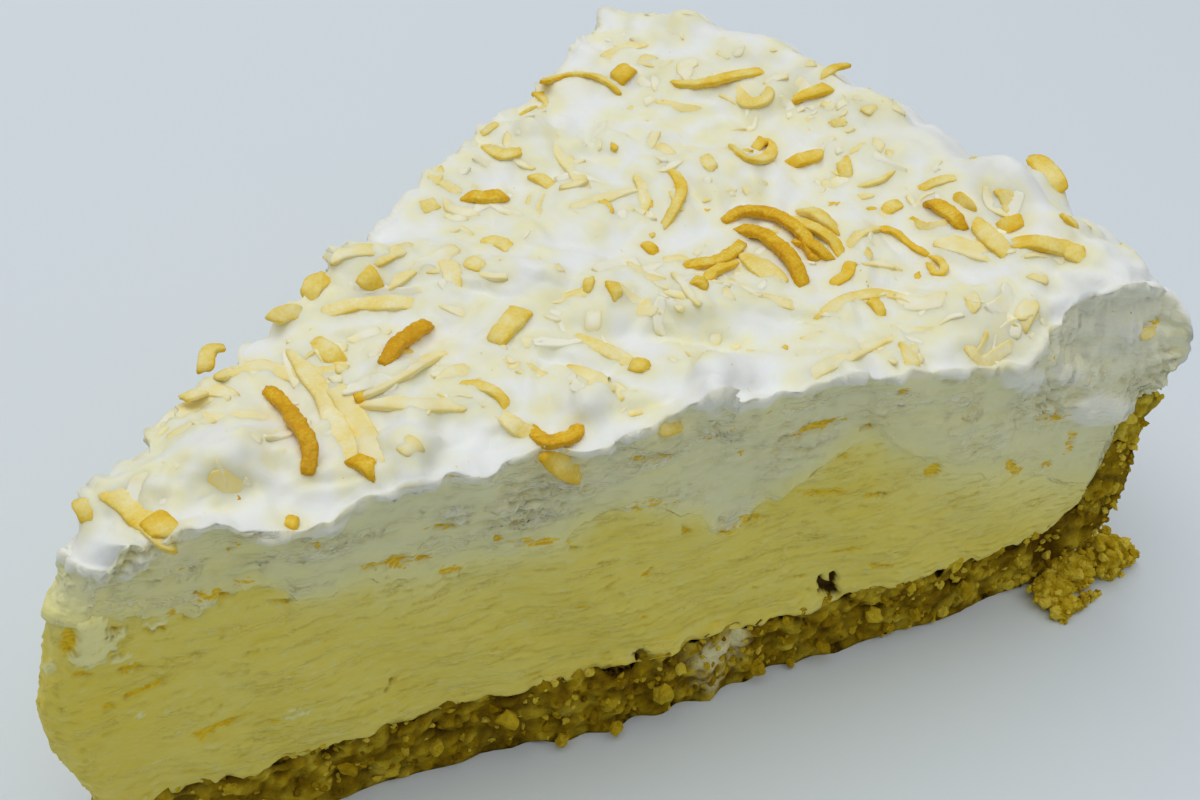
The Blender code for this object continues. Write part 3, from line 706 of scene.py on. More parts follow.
# ------------------------------------------------------------------ custard
def build_custard():
    v = np.linspace(-1, 1, 25)
    r = np.concatenate([np.linspace(0, 16, 56), np.linspace(16, 104.4, 350)[1:]])
    n2 = 26
    low = np.concatenate([sheet(r, v, lambda R, V, x, y: crust_top(x, y) - 0.4), resample(ctrl(*floor_ctrl(v, -0.3)), n2)])
    high = np.concatenate([sheet(r, v, custard_top), resample(ctrl(*seam_ctrl(v, 0.0)), n2)])
    sh = Shell(low, high, v, 80, False, False)
    nrm = sh.normals()
    p, s, z = sh.co.copy(), sh.r, sh.co[:, 2]
    near, far, nose = sh.patch == 2, sh.patch == 3, sh.patch == 4
    cap = np.where(near | far | nose | (np.abs(sh.v) > 0.995) | (s < 0.2), 1.0, 0.0)
    cap_n = np.where(near | (sh.v < -0.995) | nose, 1.0, 0.0)
    patchy = smooth(-0.05, 0.40, noise(P3(s / 2.6, z / 1.1, sh.v * 4), 83) + 0.35 * noise(P3(s / 14.0, z / 6.0, sh.v * 4), 84))
    shelf = ledges(s, z, sh.v, 1.05, 94)
    # painted shade: a darker line in the undercut under each ledge of the custard
    ledge_shade = smooth(0.80, 0.98, 1 - np.abs(shelf - 0.06)) * patchy
    seam = custard_top(s, sh.v, p[:, 0], p[:, 1])
    free = smooth(0.0, 1.0, seam - z)
    px, py = pixel_of(p)
    seen = np.where(cap_n > 0, 1.0, 0.0)
    wx, wy = 2.0 * noise(P3(s / 0.9, z / 0.8), 86), 2.5 * noise(P3(s / 1.1, z / 1.0), 87)
    # painted shade: the pits and the notch are dug in and their colour is painted nearly black
    pits = seen * blobs(PITS, px + 1.6 * wx, py + 1.6 * wy, 7.0)
    pits = np.maximum(pits, 1.5 * seen * smooth(-0.9, 0.9, inside(NOTCH, px + 0.7 * wx, py + 0.7 * wy)))
    fx = px + 2.2 * wx + 3.0 * noise(P3(s / 2.6, z / 2.0), 97) + 4.5 * noise(P3(s / 0.6, z / 0.7), 122)
    fy = py + 2.2 * wy + 5.0 * noise(P3(s / 0.7, z / 0.5), 123)
    flap = seen * smooth(-0.8, 0.8, inside(FLAP, fx, fy))
    bits = seen * smooth(0.3, 0.6, blobs(PALE_BITS, fx, fy, 3.0))
    smear = np.maximum(flap, bits)
    gold = seen * np.maximum(blobs(SAFFRON, px + 1.5 * wx, py + 0.8 * wy, 3.0), blobs(GOLD, px + 1.5 * wx, py + wy, 3.0)) * (1 - smear)
    # golden band just under the cream's hanging lip near the tip: painted shade under the overhang, in the golden
    # colour
    lip = smooth(8.0, 10.0, s) * smooth(18.5, 16.5, s) * np.exp(-((seam - OVERLAP / 2 - z - 0.35 - 0.3 * noise(P3(s / 1.3, 3.0), 119)) / 0.36) ** 2)
    gold = np.maximum(gold, seen * 0.9 * lip)
    rough = 0.07 * noise(p / 0.7, 93) + 0.36 * patchy * (shelf - 0.4)
    dis = cap * (cut_field(s, z, sh.v) + free * rough) - 1.1 * pits - 0.38 * smooth(0.35, 0.75, gold) + np.maximum(0.55 * flap, 0.16 * bits) * (1 + 0.5 * noise(p / 1.5, 88))
    dis -= cap * 0.30 * smooth(0.45, 0.02, seam - z)
    # ragged lower edge, where the custard meets the crumbs
    low_d = np.where(sh.t < 0.5, sh.t / np.maximum(1 - sh.t, 1e-6) * np.maximum(seam - z, 0), 9.0)
    dis += cap * np.exp(-(low_d / 0.9) ** 2) * (0.35 * noise(P3(s / 1.8, z / 1.5, sh.v * 3), 89) - 0.05)
    sh.co = p + nrm * dis[:, None]
    jag = 0.55 * noise(P3(s / 6.1, 1.0, sh.v * 3), 126) + 0.65 * noise(P3(s / 2.5, 2.0, sh.v * 3), 128) + 0.40 * noise(P3(s / 1.0, 3.0, sh.v * 3), 127) + 0.1
    sh.co[:, 2] += cap * np.exp(-(low_d / 1.3) ** 2) * np.clip(jag, -0.7, 1.1) * (z > 3)
    soft_amt = np.where(cap_n > 0, along(SOFT_SEAM, s), np.clip(0.5 + 0.7 * noise(P3(s / 12.0, 2.0, sh.v), 68), 0, 1))
    white = cap * np.clip(soft_amt * 1.4, 0.15, 1.0) * np.exp(-np.maximum(seam - OVERLAP / 2 - z, 0) / (0.25 + 2.6 * soft_amt + 2.4 * cap_n * smooth(80, 94, s)) * 1.1)
    fleck = cap * smooth(0.28, 0.6, noise(P3(s / 3.2, z / 1.0, sh.v), 90)) * (0.25 + 0.75 * smooth(14.0, 10.0, z))
    white = np.maximum(white, smear)
    white = np.maximum(white, 0.32 * fleck)
    deep = np.where(cap_n > 0, spots(DEEP, s, z, 2.0), 0.0)
    deep = deep * (0.75 + 0.5 * noise(P3(s / 1.6, z / 0.8), 91))
    deep = np.maximum(deep, 0.35 * cap * smooth(0.2, 0.6, noise(P3(s / 4.0, z / 0.9, sh.v), 92)))
    deep = np.maximum(0.7 * deep, np.where(nose | (s < 3), 0.25 * smooth(34, 28, z), 0.0)) * (1 - smear)
    # painted shade in the recesses of the cut: a darker, warmer colour where the surface is pressed in
    dent_shade = cap * smooth(0.03, 0.16, -free * rough)
    where = cap * smooth(0.0, 0.35, noise(P3(s / 6.0, z / 2.2, sh.v * 3), 125))
    ob = sh.object("custard_layer", {"dent_shade": dent_shade, "where": where, "white": white, "deep": np.clip(deep, 0, 1), "pit_shade": np.clip(pits, 0, 1), "ledge_shade": ledge_shade * cap, "smear": smear, "gold": gold, "cap": cap,
                                      "run": P3(s, z, 3.0 * sh.v + 0.15 * p[:, 1])})
    return ob, sh


# ------------------------------------------------------------------ crumb crust
def build_crust():
    v = np.linspace(-1, 1, 161)
    r = np.concatenate([np.linspace(0, 16, 36), np.linspace(16, 104.4, 178)[1:]])
    n2 = 76
    high = np.concatenate([sheet(r, v, lambda R, V, x, y: crust_top(x, y)), resample(ctrl(*(floor_ctrl(v, 0.0) + wall_ctrl(v, 0.0))), n2)])
    top = rim_height(v)
    lows = [(np.full_like(v, 104.4), np.zeros_like(v)), (np.full_like(v, 106.4), np.zeros_like(v)),
            (np.full_like(v, R_BASE - 0.5), np.zeros_like(v)), (wall_outer(2.2, v), np.full_like(v, 2.2))]
    lows += [(wall_outer(z, v), np.full_like(v, z)) for z in (7.6, 13.2, 18.6, 23.8)] + [(wall_outer(top - 0.9, v), top - 0.9)]
    low = np.concatenate([sheet(r, v, lambda R, V, x, y: np.zeros_like(R)), resample(ctrl(*lows), n2)])
    low[..., 1] = np.maximum(low[..., 1], 0.0)
    sh = Shell(low, high, v, 30, False, True)
    nrm = sh.normals()
    p, s, z = sh.co.copy(), sh.r, sh.co[:, 2]
    a1, b1, own1 = cells(p / 2.1, 1)
    a2, b2, own2 = cells(p / 0.95, 2)
    grain = 0.62 * (0.55 - a1) * 2.0 + 0.30 * (0.5 - a2) * 2.0 + 0.45 * noise(p / 4.5, 101)
    hole = smooth(0.42, 0.75, noise(p / 1.7, 102)) * 0.9
    under = (sh.patch == 0) & (z < 0.3) & (s < 107)
    cap = (sh.patch == 2) | (sh.patch == 3) | (sh.patch == 4) | (np.abs(sh.v) > 0.998)
    seam_gap = cap * smooth(7.4, 9.2, z) * (s < 106) * smooth(-0.1, 0.35, noise(P3(s / 3.2, 0.7, sh.v * 3), 103))
    dis = np.where(under, 0.0, grain * 0.85 - hole * 0.9 - 0.9 * seam_gap + 0.22 * noise(p / 0.8, 107) - 0.15)
    dis = np.where(under, 0.10 * noise(p / 1.2, 104), dis)
    px, py = pixel_of(p)
    facing = (sh.patch == 2) | ((sh.patch != 0) & (sh.v < -0.99)) | ((sh.v < -0.9) & (s > 108))
    hollow = np.where(facing, blobs(HOLLOW, px + 3.0 * noise(p / 1.2, 108), py + 3.0 * noise(p / 1.1, 109), 3.0), 0.0)
    dis = dis - 1.1 * hollow
    q = p + nrm * dis[:, None]
    rise = cap * smooth(6.8, 9.2, z) * (s < 106) * (0.75 * noise(P3(s / 2.1, 4.0, sh.v * 3), 120) + 0.45 * noise(P3(s / 0.95, 6.0, sh.v * 3), 121))
    q[:, 2] += rise
    q[:, 2] = np.maximum(q[:, 2], np.where(under, 0.0, 0.02))
    sh.co = q
    # dark is painted shade, not the crust's own colour: the gaps between the crumbs, the holes, the pockets under the
    # custard's edge and the shaded hollows are darkened
    dark = np.clip(0.55 * smooth(0.35, 0.8, a1) + 0.5 * smooth(0.35, 0.7, a2) * 0.6 + hole * 0.8 + seam_gap + 0.9 * hollow, 0, 1)
    tone = 0.5 + 0.22 * smooth(17, 25, z) + 0.35 * noise(p / 3.0, 105) + 0.35 * (own1 - 0.5) + 0.25 * (own2 - 0.5)
    pale = np.where(sh.patch == 2, spots(((65.0, 6.5, 3.0, 2.4, 1.0), (64.6, 2.6, 2.0, 1.4, 0.8), (67.8, 6.7, 1.2, 3.4, 0.9)), s, z, 3.0), 0.0)
    pale = pale * smooth(-0.4, 0.3, noise(p / 0.9, 106) + pale - 0.4)
    return sh.object("crumb_crust", {"dark": dark * (1 - pale), "tone": tone, "pale": pale}), sh


class Surface:
    """Ray casting against the finished layers, in mm from the pie's centre."""

    def __init__(self, shells):
        verts, faces, base = [], [], 0
        for sh in shells:
            verts.extend(sh.co.tolist())
            faces.extend([[q + base for q in f] for f in sh.faces])
            base += len(sh.co)
        self.tree = BVHTree.FromPolygons(verts, faces)

    def seen(self, px, py):
        hit = self.tree.ray_cast(Vector(CAM_POS), Vector(sight(px, py)))
        if hit[0] is None:
            return None
        return np.array(hit[0]), np.array(hit[1])

    def below(self, x, y, z=80.0):
        hit = self.tree.ray_cast(Vector((x, y, z)), Vector((0, 0, -1)))
        if hit[0] is None:
            return None
        return np.array(hit[0]), np.array(hit[1])

    def nearest(self, p):
        hit = self.tree.find_nearest(Vector(p))
        return np.array(hit[0]), np.array(hit[1])


class Pile:
    """Many small pieces joined into one mesh."""

    def __init__(self):
        self.co, self.faces, self.att, self.n = [], [], {}, 0

    def add(self, co, faces, **att):
        self.co.append(co)
        self.faces.append(np.asarray(faces) + self.n)
        self.n += len(co)
        for k, val in att.items():
            self.att.setdefault(k, []).append(np.broadcast_to(val, (len(co),)))

    def object(self, name, smooth_faces=True):
        faces = [f for block in self.faces for f in block.tolist()]
        return make_object(name, np.concatenate(self.co), faces, {k: np.concatenate(q) for k, q in self.att.items()}, smooth_faces)


def unit(a):
    return a / np.maximum(np.linalg.norm(a, axis=-1, keepdims=True), 1e-9)


def spline(pts, n):
    pts = np.asarray(pts, float)
    if len(pts) == 2:
        return pts[0] + (pts[1] - pts[0]) * np.linspace(0, 1, n)[:, None]
    seg = np.linalg.norm(np.diff(pts, axis=0), axis=1)
    cum = np.concatenate([[0], np.cumsum(seg)])
    want = np.linspace(0, cum[-1], n)
    k = np.clip(np.searchsorted(cum, want, side="right") - 1, 0, len(seg) - 1)
    t = ((want - cum[k]) / np.maximum(seg[k], 1e-9))[:, None]
    ext = np.concatenate([2 * pts[:1] - pts[1:2], pts, 2 * pts[-1:] - pts[-2:-1]])
    p0, p1, p2, p3 = ext[k], ext[k + 1], ext[k + 2], ext[k + 3]
    return 0.5 * (2 * p1 + (p2 - p0) * t + (2 * p0 - 5 * p1 + 4 * p2 - p3) * t ** 2 + (3 * p1 - p0 - 3 * p2 + p3) * t ** 3)


RING = 14


def strip(line, width, thick, rng, rough=1.0, normal=None, twist=0.0, taper=0.09):
    """A shred along a line of points: a flat strip with squarish section, fibres along it and blunt, slanting ends."""
    n = len(line)
    tan = unit(np.gradient(line, axis=0))
    up = np.array([0, 0, 1.0]) if normal is None else normal
    up = unit(up + 0.16 * rng.normal(size=3))
    side = unit(np.cross(tan, up))
    nor = unit(np.cross(side, tan))
    ang = twist * np.linspace(-0.5, 0.5, n)
    cs, sn = np.cos(ang)[:, None], np.sin(ang)[:, None]
    side, nor = side * cs + nor * sn, nor * cs - side * sn
    u = np.linspace(0, 1, n)
    seed = rng.uniform(0, 500)
    length = np.linalg.norm(np.diff(line, axis=0), axis=1).sum()
    a, b = (taper * rng.uniform(0.0, 1.8) for _ in range(2))
    wprof = 1 + 0.09 * noise(P3(u * length / 3.6, seed)) + 0.04 * noise(P3(u * length / 1.0, seed + 9))
    wprof = wprof * (1 - a * smooth(0.45, 0.0, u) - b * smooth(0.55, 1.0, u))
    dist = np.minimum(u, 1 - u) * length
    wprof = wprof * (0.84 + 0.16 * np.sqrt(np.clip(dist / 0.40, 0, 1)))
    tprof = (1 + 0.12 * noise(P3(u * length / 2.8, seed + 20))) * (0.78 + 0.22 * np.sqrt(np.clip(dist / 0.40, 0, 1)))
    th = np.linspace(0, 2 * math.pi, RING, endpoint=False) + 0.2
    ca, sa = np.cos(th), np.sin(th)
    sx = np.sign(ca) * np.abs(ca) ** 0.50
    sy = np.sign(sa) * np.abs(sa) ** 0.38
    co = (line[:, None] + side[:, None] * (0.5 * width * wprof)[:, None, None] * sx[None, :, None]
          + nor[:, None] * (0.5 * thick * tprof)[:, None, None] * sy[None, :, None])
    along_mm = np.broadcast_to(u[:, None] * length, (n, RING))
    wx, wy = np.broadcast_to(sx[None] * width * 0.5, (n, RING)), np.broadcast_to(sy[None] * thick * 0.5, (n, RING))
    fib = noise(P3(along_mm / 2.4, wx / 0.45 + seed, wy / 0.45), 4)
    fine = noise(P3(along_mm / 0.55, wx / 0.5 + seed, wy / 0.5), 5)
    radial = unit(side[:, None] * sx[None, :, None] * 0.9 + nor[:, None] * sy[None, :, None])
    co = co + radial * (0.05 * fib + (0.02 + 0.085 * rough ** 2) * fine)[..., None]
    rag = np.broadcast_to(noise(P3(sx * 1.7 + seed, sy * 0.9), 6), (n, RING))
    rag2 = np.broadcast_to(noise(P3(sx * 1.7 + seed + 50, sy * 0.9), 6), (n, RING))
    d0, d1 = u * length, (1 - u) * length
    slant = rng.uniform(-0.34, 0.34, 2)
    pull = width * ((0.12 * rag + slant[0] * sx[None]) * np.exp(-(d0 / 0.7) ** 2)[:, None] + (0.12 * rag2 + slant[1] * sx[None]) * np.exp(-(d1 / 0.7) ** 2)[:, None])
    co = co + tan[:, None] * pull[..., None]
    tips = [co[0].mean(0) - tan[0] * 0.06 * width, co[-1].mean(0) + tan[-1] * 0.06 * width]
    verts = np.concatenate([co.reshape(-1, 3), np.array(tips)])
    i, j = np.meshgrid(np.arange(n - 1), np.arange(RING), indexing="ij")
    j2 = (j + 1) % RING
    quads = np.stack([i * RING + j, (i + 1) * RING + j, (i + 1) * RING + j2, i * RING + j2], -1).reshape(-1, 4).tolist()
    for k in range(RING):
        k2 = (k + 1) % RING
        quads.append([n * RING, k, k2])
        quads.append([n * RING + 1, (n - 1) * RING + k2, (n - 1) * RING + k])
    edge = np.broadcast_to(np.abs(sx)[None], (n, RING)).ravel()
    near_end = np.broadcast_to(np.exp(-(dist / 0.7) ** 2)[:, None], (n, RING)).ravel()
    edge = np.concatenate([edge, [0.5, 0.5]])
    near_end = np.concatenate([near_end, [1.0, 1.0]])
    fibv = np.concatenate([fib.ravel(), [0.0, 0.0]])
    return verts, quads, edge, near_end, fibv


def add_strip(pile, got, tone):
    verts, faces, edge, near_end, fib = got
    local = tone + 0.13 * (edge ** 3 - 0.40) + 0.09 * near_end + 0.17 * noise(verts / 2.8, 7) + 0.05 * fib
    pile.add(verts, [f for f in faces if len(f) == 4], tone=np.clip(local, 0, 1))
    pile.faces.append(np.array([f for f in faces if len(f) == 3]) + pile.n - len(verts))


# Shreds that can be told apart: path in the 1200 x 800 frame, width in mm, toasting 0 pale to 1 dark brown, lift in mm, flatness
SHREDS = [
    ([(142, 462), (165, 446), (200, 424), (238, 413), (272, 416)], 2.3, 0.20, 0.5, 0.38),
    ([(152, 436), (188, 408), (232, 388)], 2.0, 0.16, 0.3, 0.4),
    ([(204, 370), (208, 352), (222, 348)], 1.7, 0.50, 0.6, 0.6),
    ([(218, 376), (258, 368), (300, 376), (348, 372)], 1.7, 0.26, 0.4, 0.5),
    ([(182, 398), (212, 392), (238, 398)], 1.7, 0.30, 0.3, 0.5),
    ([(266, 391), (280, 408), (298, 434), (309, 456), (308, 475)], 1.55, 0.97, 1.3, 0.75),
    ([(296, 352), (312, 378), (330, 410), (344, 442), (352, 480)], 2.2, 0.30, 0.9, 0.5),
    ([(322, 378), (345, 402), (366, 434), (376, 470)], 2.2, 0.27, 0.9, 0.5),
    ([(350, 462), (374, 474)], 2.0, 0.74, 0.5, 0.6),
    ([(320, 314), (350, 307), (385, 306), (422, 306)], 2.0, 0.33, 0.6, 0.6),
    ([(384, 366), (404, 346), (428, 324)], 1.7, 0.95, 0.9, 0.7),
    ([(358, 396), (382, 386), (418, 366), (448, 348)], 2.0, 0.25, 0.6, 0.5),
    ([(362, 402), (400, 404), (436, 407), (470, 407)], 1.9, 0.27, 0.5, 0.6),
    ([(360, 394), (363, 404)], 1.3, 0.70, 0.5, 0.6),
    ([(106, 490), (128, 508), (150, 527), (172, 548)], 2.2, 0.42, 0.6, 0.5),
    ([(150, 522), (170, 536)], 2.4, 0.62, 0.5, 0.5),
    ([(78, 498), (84, 512), (85, 524)], 1.5, 0.45, 0.6, 0.6),
    ([(208, 482), (244, 483)], 2.4, 0.28, 0.2, 0.35),
    ([(524, 310), (508, 328), (494, 344)], 2.3, 0.44, 0.7, 0.6),
    ([(512, 345), (536, 342)], 1.6, 0.25, 0.2, 0.5),
    ([(440, 388), (456, 376), (474, 370)], 2.6, 0.20, 0.3, 0.4),
    ([(456, 388), (478, 386), (500, 400), (508, 412)], 1.3, 0.48, 0.5, 0.7),
    ([(500, 414), (518, 430), (536, 438)], 1.6, 0.34, 0.3, 0.6),
    ([(568, 334), (590, 345), (615, 357), (642, 370)], 1.6, 0.36, 0.6, 0.6),
    ([(630, 368), (646, 370)], 1.7, 0.52, 0.6, 0.7),
    ([(566, 372), (590, 380), (612, 388), (628, 398)], 2.1, 0.28, 0.6, 0.5),
    ([(594, 306), (592, 334)], 1.8, 0.16, 0.3, 0.5),
    ([(540, 302), (562, 300), (584, 294), (600, 284)], 1.3, 0.32, 0.4, 0.6),
    ([(590, 278), (586, 294)], 1.2, 0.46, 0.5, 0.7),
    ([(612, 284), (618, 300)], 1.7, 0.46, 0.4, 0.7),
    ([(624, 414), (652, 408)], 1.2, 0.30, 0.3, 0.5),
    ([(642, 246), (654, 254)], 1.5, 0.60, 0.4, 0.8),
    ([(630, 262), (645, 276), (664, 284)], 1.9, 0.30, 0.3, 0.45),
    ([(662, 262), (690, 258)], 1.7, 0.30, 0.3, 0.5),
    ([(684, 268), (708, 266), (730, 256), (742, 244)], 1.5, 0.66, 0.6, 0.7),
    ([(690, 282), (706, 290)], 1.4, 0.70, 0.4, 0.7),
    ([(706, 282), (722, 270), (736, 262)], 1.3, 0.60, 0.5, 0.7),
    ([(722, 224), (748, 217), (776, 224), (800, 242), (818, 262)], 1.5, 0.80, 1.4, 0.7),
    ([(738, 230), (764, 243), (786, 262), (804, 286)], 1.8, 0.84, 1.2, 0.7),
    ([(774, 220), (804, 229), (832, 244), (842, 256)], 1.5, 0.56, 1.1, 0.6),
    ([(792, 242), (814, 254), (832, 262)], 1.4, 0.76, 0.9, 0.7),
    ([(744, 250), (760, 268), (778, 284)], 2.8, 0.38, 0.4, 0.35),
    ([(804, 210), (820, 220), (838, 232)], 2.0, 0.46, 0.7, 0.6),
    ([(832, 286), (846, 276), (852, 262)], 1.4, 0.58, 0.4, 0.6),
    ([(878, 231), (898, 238), (916, 252), (930, 258)], 0.9, 0.62, 0.8, 0.8),
    ([(928, 254), (942, 264), (944, 274), (934, 276), (928, 264)], 0.9, 0.58, 0.6, 0.8),
    ([(820, 320), (842, 304), (868, 296), (896, 298), (920, 304)], 1.6, 0.36, 0.7, 0.55),
    ([(866, 302), (874, 308), (882, 318)], 1.4, 0.56, 0.7, 0.7),
    ([(800, 383), (826, 366), (858, 352), (896, 336)], 1.7, 0.24, 0.5, 0.5),
    ([(1010, 246), (1036, 247), (1062, 253), (1088, 257)], 2.1, 0.50, 1.0, 0.6),
    ([(1028, 158), (1044, 170), (1060, 194)], 2.7, 0.50, 0.9, 0.45),
    ([(916, 192), (936, 184), (958, 178)], 1.6, 0.42, 0.5, 0.55),
    ([(928, 204), (948, 215), (962, 230)], 1.8, 0.76, 0.8, 0.6),
    ([(954, 198), (972, 212)], 1.6, 0.54, 0.6, 0.6),
    ([(1000, 230), (1022, 222)], 1.8, 0.58, 0.7, 0.6),
    ([(972, 222), (990, 238), (1008, 254)], 2.2, 0.44, 0.6, 0.5),
    ([(936, 238), (968, 250), (1000, 258)], 3.0, 0.24, 0.3, 0.3),
    ([(882, 214), (900, 204)], 1.8, 0.48, 0.4, 0.6),
    ([(1064, 216), (1078, 230)], 1.5, 0.46, 0.4, 0.6),
    ([(846, 154), (862, 147), (878, 149)], 1.5, 0.28, 0.5, 0.5),
    ([(842, 160), (846, 178)], 1.7, 0.46, 0.5, 0.6),
    ([(852, 185), (874, 182), (890, 172)], 1.6, 0.36, 0.4, 0.5),
    ([(892, 150), (896, 166)], 1.5, 0.30, 0.4, 0.5),
    ([(790, 166), (806, 162), (824, 154)], 1.8, 0.58, 0.7, 0.6),
    ([(732, 146), (748, 162), (768, 158), (774, 144), (760, 138)], 1.5, 0.46, 0.6, 0.6),
    ([(754, 150), (764, 142)], 1.3, 0.64, 0.6, 0.7),
    ([(702, 156), (712, 172)], 1.9, 0.40, 0.4, 0.5),
    ([(656, 146), (672, 156)], 1.6, 0.28, 0.3, 0.5),
    ([(670, 168), (680, 188), (677, 208), (662, 228)], 1.3, 0.52, 0.8, 0.7),
    ([(552, 136), (566, 160), (580, 182), (592, 196)], 1.9, 0.22, 0.6, 0.5),
    ([(568, 212), (596, 202), (622, 194), (642, 186)], 1.8, 0.24, 0.5, 0.5),
    ([(636, 174), (646, 192), (640, 214)], 1.6, 0.30, 0.6, 0.5),
    ([(532, 176), (552, 188)], 1.8, 0.46, 0.4, 0.5),
    ([(464, 198), (484, 201), (504, 197)], 2.0, 0.68, 0.6, 0.55),
    ([(486, 146), (504, 157), (522, 150)], 1.7, 0.46, 0.5, 0.5),
    ([(480, 136), (500, 124)], 1.2, 0.50, 0.4, 0.6),
    ([(518, 118), (536, 108)], 1.8, 0.42, 0.4, 0.5),
    ([(544, 82), (576, 76), (604, 82), (620, 94)], 1.4, 0.54, 0.5, 0.6),
    ([(616, 82), (630, 70)], 2.2, 0.62, 0.6, 0.6),
    ([(604, 60), (626, 48), (650, 44)], 1.6, 0.30, 0.4, 0.5),
    ([(636, 58), (662, 66)], 2.4, 0.26, 0.3, 0.4),
    ([(670, 84), (700, 86), (732, 80), (762, 72)], 1.7, 0.56, 0.7, 0.6),
    ([(734, 88), (748, 104), (766, 100), (768, 86)], 1.9, 0.40, 0.5, 0.5),
    ([(654, 98), (676, 108), (704, 112)], 1.4, 0.28, 0.4, 0.5),
    ([(792, 102), (812, 94), (830, 88)], 1.9, 0.54, 0.6, 0.55),
    ([(820, 78), (834, 70), (850, 64)], 1.3, 0.50, 0.6, 0.6),
    ([(864, 106), (874, 114)], 1.7, 0.34, 0.4, 0.5),
    ([(308, 300), (314, 284), (330, 278)], 2.0, 0.46, 0.5, 0.5),
    ([(362, 274), (374, 290)], 2.4, 0.52, 0.5, 0.6),
    ([(374, 264), (394, 254), (414, 246)], 1.6, 0.34, 0.5, 0.5),
    ([(386, 288), (402, 278), (416, 268)], 1.6, 0.28, 0.4, 0.5),
    ([(328, 260), (352, 252), (376, 250)], 2.0, 0.26, 0.4, 0.5),
    ([(274, 320), (290, 312), (304, 312)], 1.9, 0.40, 0.5, 0.5),
    ([(312, 342), (324, 352), (338, 364)], 2.2, 0.44, 0.6, 0.55),
    ([(336, 346), (346, 372)], 1.8, 0.30, 0.4, 0.5),
    ([(418, 210), (438, 203)], 1.9, 0.38, 0.4, 0.5),
    ([(442, 256), (450, 270), (452, 286)], 2.0, 0.32, 0.4, 0.5),
    ([(456, 228), (474, 240)], 1.8, 0.28, 0.3, 0.5),
    ([(466, 262), (484, 272)], 2.0, 0.34, 0.3, 0.5),
    ([(480, 246), (496, 242), (510, 252)], 1.6, 0.42, 0.4, 0.5),
    ([(438, 180), (462, 196)], 1.8, 0.30, 0.3, 0.5),
    ([(442, 304), (468, 316)], 1.5, 0.18, 0.2, 0.5),
    ([(598, 230), (598, 244)], 1.0, 0.32, 0.3, 0.6),
    ([(744, 298), (770, 300), (794, 306)], 1.5, 0.32, 0.4, 0.5),
    ([(716, 330), (712, 346)], 1.8, 0.16, 0.2, 0.4),
    ([(680, 344), (694, 356)], 1.6, 0.18, 0.2, 0.5),
    ([(730, 350), (746, 346)], 1.1, 0.30, 0.3, 0.6),
    ([(668, 288), (690, 298)], 2.2, 0.18, 0.2, 0.4),
    ([(720, 290), (730, 304)], 1.5, 0.18, 0.2, 0.5),
    ([(654, 302), (640, 318)], 2.0, 0.22, 0.2, 0.5),
    ([(964, 288), (974, 302), (966, 314)], 1.6, 0.30, 0.4, 0.5),
    ([(946, 316), (960, 326)], 1.8, 0.26, 0.3, 0.5),
    ([(1036, 300), (1026, 314), (1020, 328)], 2.0, 0.22, 0.3, 0.5),
    ([(966, 344), (980, 362), (1002, 350), (1018, 344)], 1.4, 0.34, 0.5, 0.6),
    ([(906, 346), (914, 368)], 2.0, 0.30, 0.3, 0.5),
    ([(1030, 276), (1048, 282)], 1.6, 0.28, 0.3, 0.5),
    ([(860, 262), (900, 268)], 1.8, 0.28, 0.3, 0.45),
    ([(848, 250), (862, 232), (882, 228)], 1.4, 0.34, 0.5, 0.55),
    ([(658, 432), (682, 424)], 1.6, 0.40, 0.4, 0.5),
    ([(530, 430), (548, 446), (572, 440), (576, 424)], 1.6, 0.80, 0.5, 0.6),
    ([(546, 452), (562, 464), (580, 474)], 2.4, 0.56, 0.2, 0.5),
    ([(800, 124), (816, 120)], 1.3, 0.24, 0.3, 0.5),
    ([(830, 126), (846, 122)], 1.5, 0.32, 0.3, 0.5),
    ([(700, 200), (716, 196)], 1.5, 0.18, 0.2, 0.5),
    ([(748, 186), (756, 200)], 1.6, 0.26, 0.3, 0.5),
    ([(400, 440), (416, 452)], 2.0, 0.26, 0.3, 0.5),
    ([(286, 522), (296, 528)], 1.4, 0.62, 0.2, 0.7),
    ([(1140, 336), (1156, 330)], 1.4, 0.30, 0.2, 0.6),
]

# Plain stretches of cream in the frame that carry hardly any coconut: left, top, right, bottom
BARE = ((500, 150, 548, 240), (548, 100, 640, 132), (600, 312, 640, 400), (650, 372, 700, 412), (655, 180, 700, 250),
        (430, 412, 520, 452), (186, 440, 300, 470), (720, 355, 800, 410), (560, 215, 590, 268), (820, 330, 880, 350),
        (956, 262, 1000, 290), (1060, 262, 1200, 330), (700, 110, 790, 136), (900, 100, 1000, 160))


def lay(surface, path, step_px=3.0):
    """A path of the frame laid on the surface: points and the mean normal."""
    path = np.asarray(path, float)
    length = np.linalg.norm(np.diff(path, axis=0), axis=1).sum()
    line = spline(path, max(4, int(length / step_px)))
    pts, nrm, last = [], [], None
    for px, py in line:
        hit = surface.seen(px, py)
        d = sight(px, py)
        if hit is not None and last is not None and abs(hit[0][2] - last) > 3.5:
            hit = None
        if hit is None:
            z = 42.0 if last is None else last
            q = CAM_POS + d * ((z - CAM_POS[2]) / d[2])
            pts.append(q)
            nrm.append(np.array([0, 0, 1.0]))
        else:
            pts.append(hit[0])
            nrm.append(hit[1])
            last = hit[0][2]
    pts = np.array(pts)
    for _ in range(2):
        mid = pts.copy()
        mid[1:-1] = 0.25 * pts[:-2] + 0.5 * pts[1:-1] + 0.25 * pts[2:]
        pts = mid
    return pts, unit(np.mean(nrm, axis=0) + np.array([0, 0, 0.3]))


def even(line, step, least=5):
    seg = np.linalg.norm(np.diff(line, axis=0), axis=1)
    cum = np.concatenate([[0], np.cumsum(seg)])
    n = max(least, int(cum[-1] / step) + 1)
    want = np.linspace(0, cum[-1], n)
    return np.stack([np.interp(want, cum, line[:, k]) for k in range(3)], -1), cum[-1]


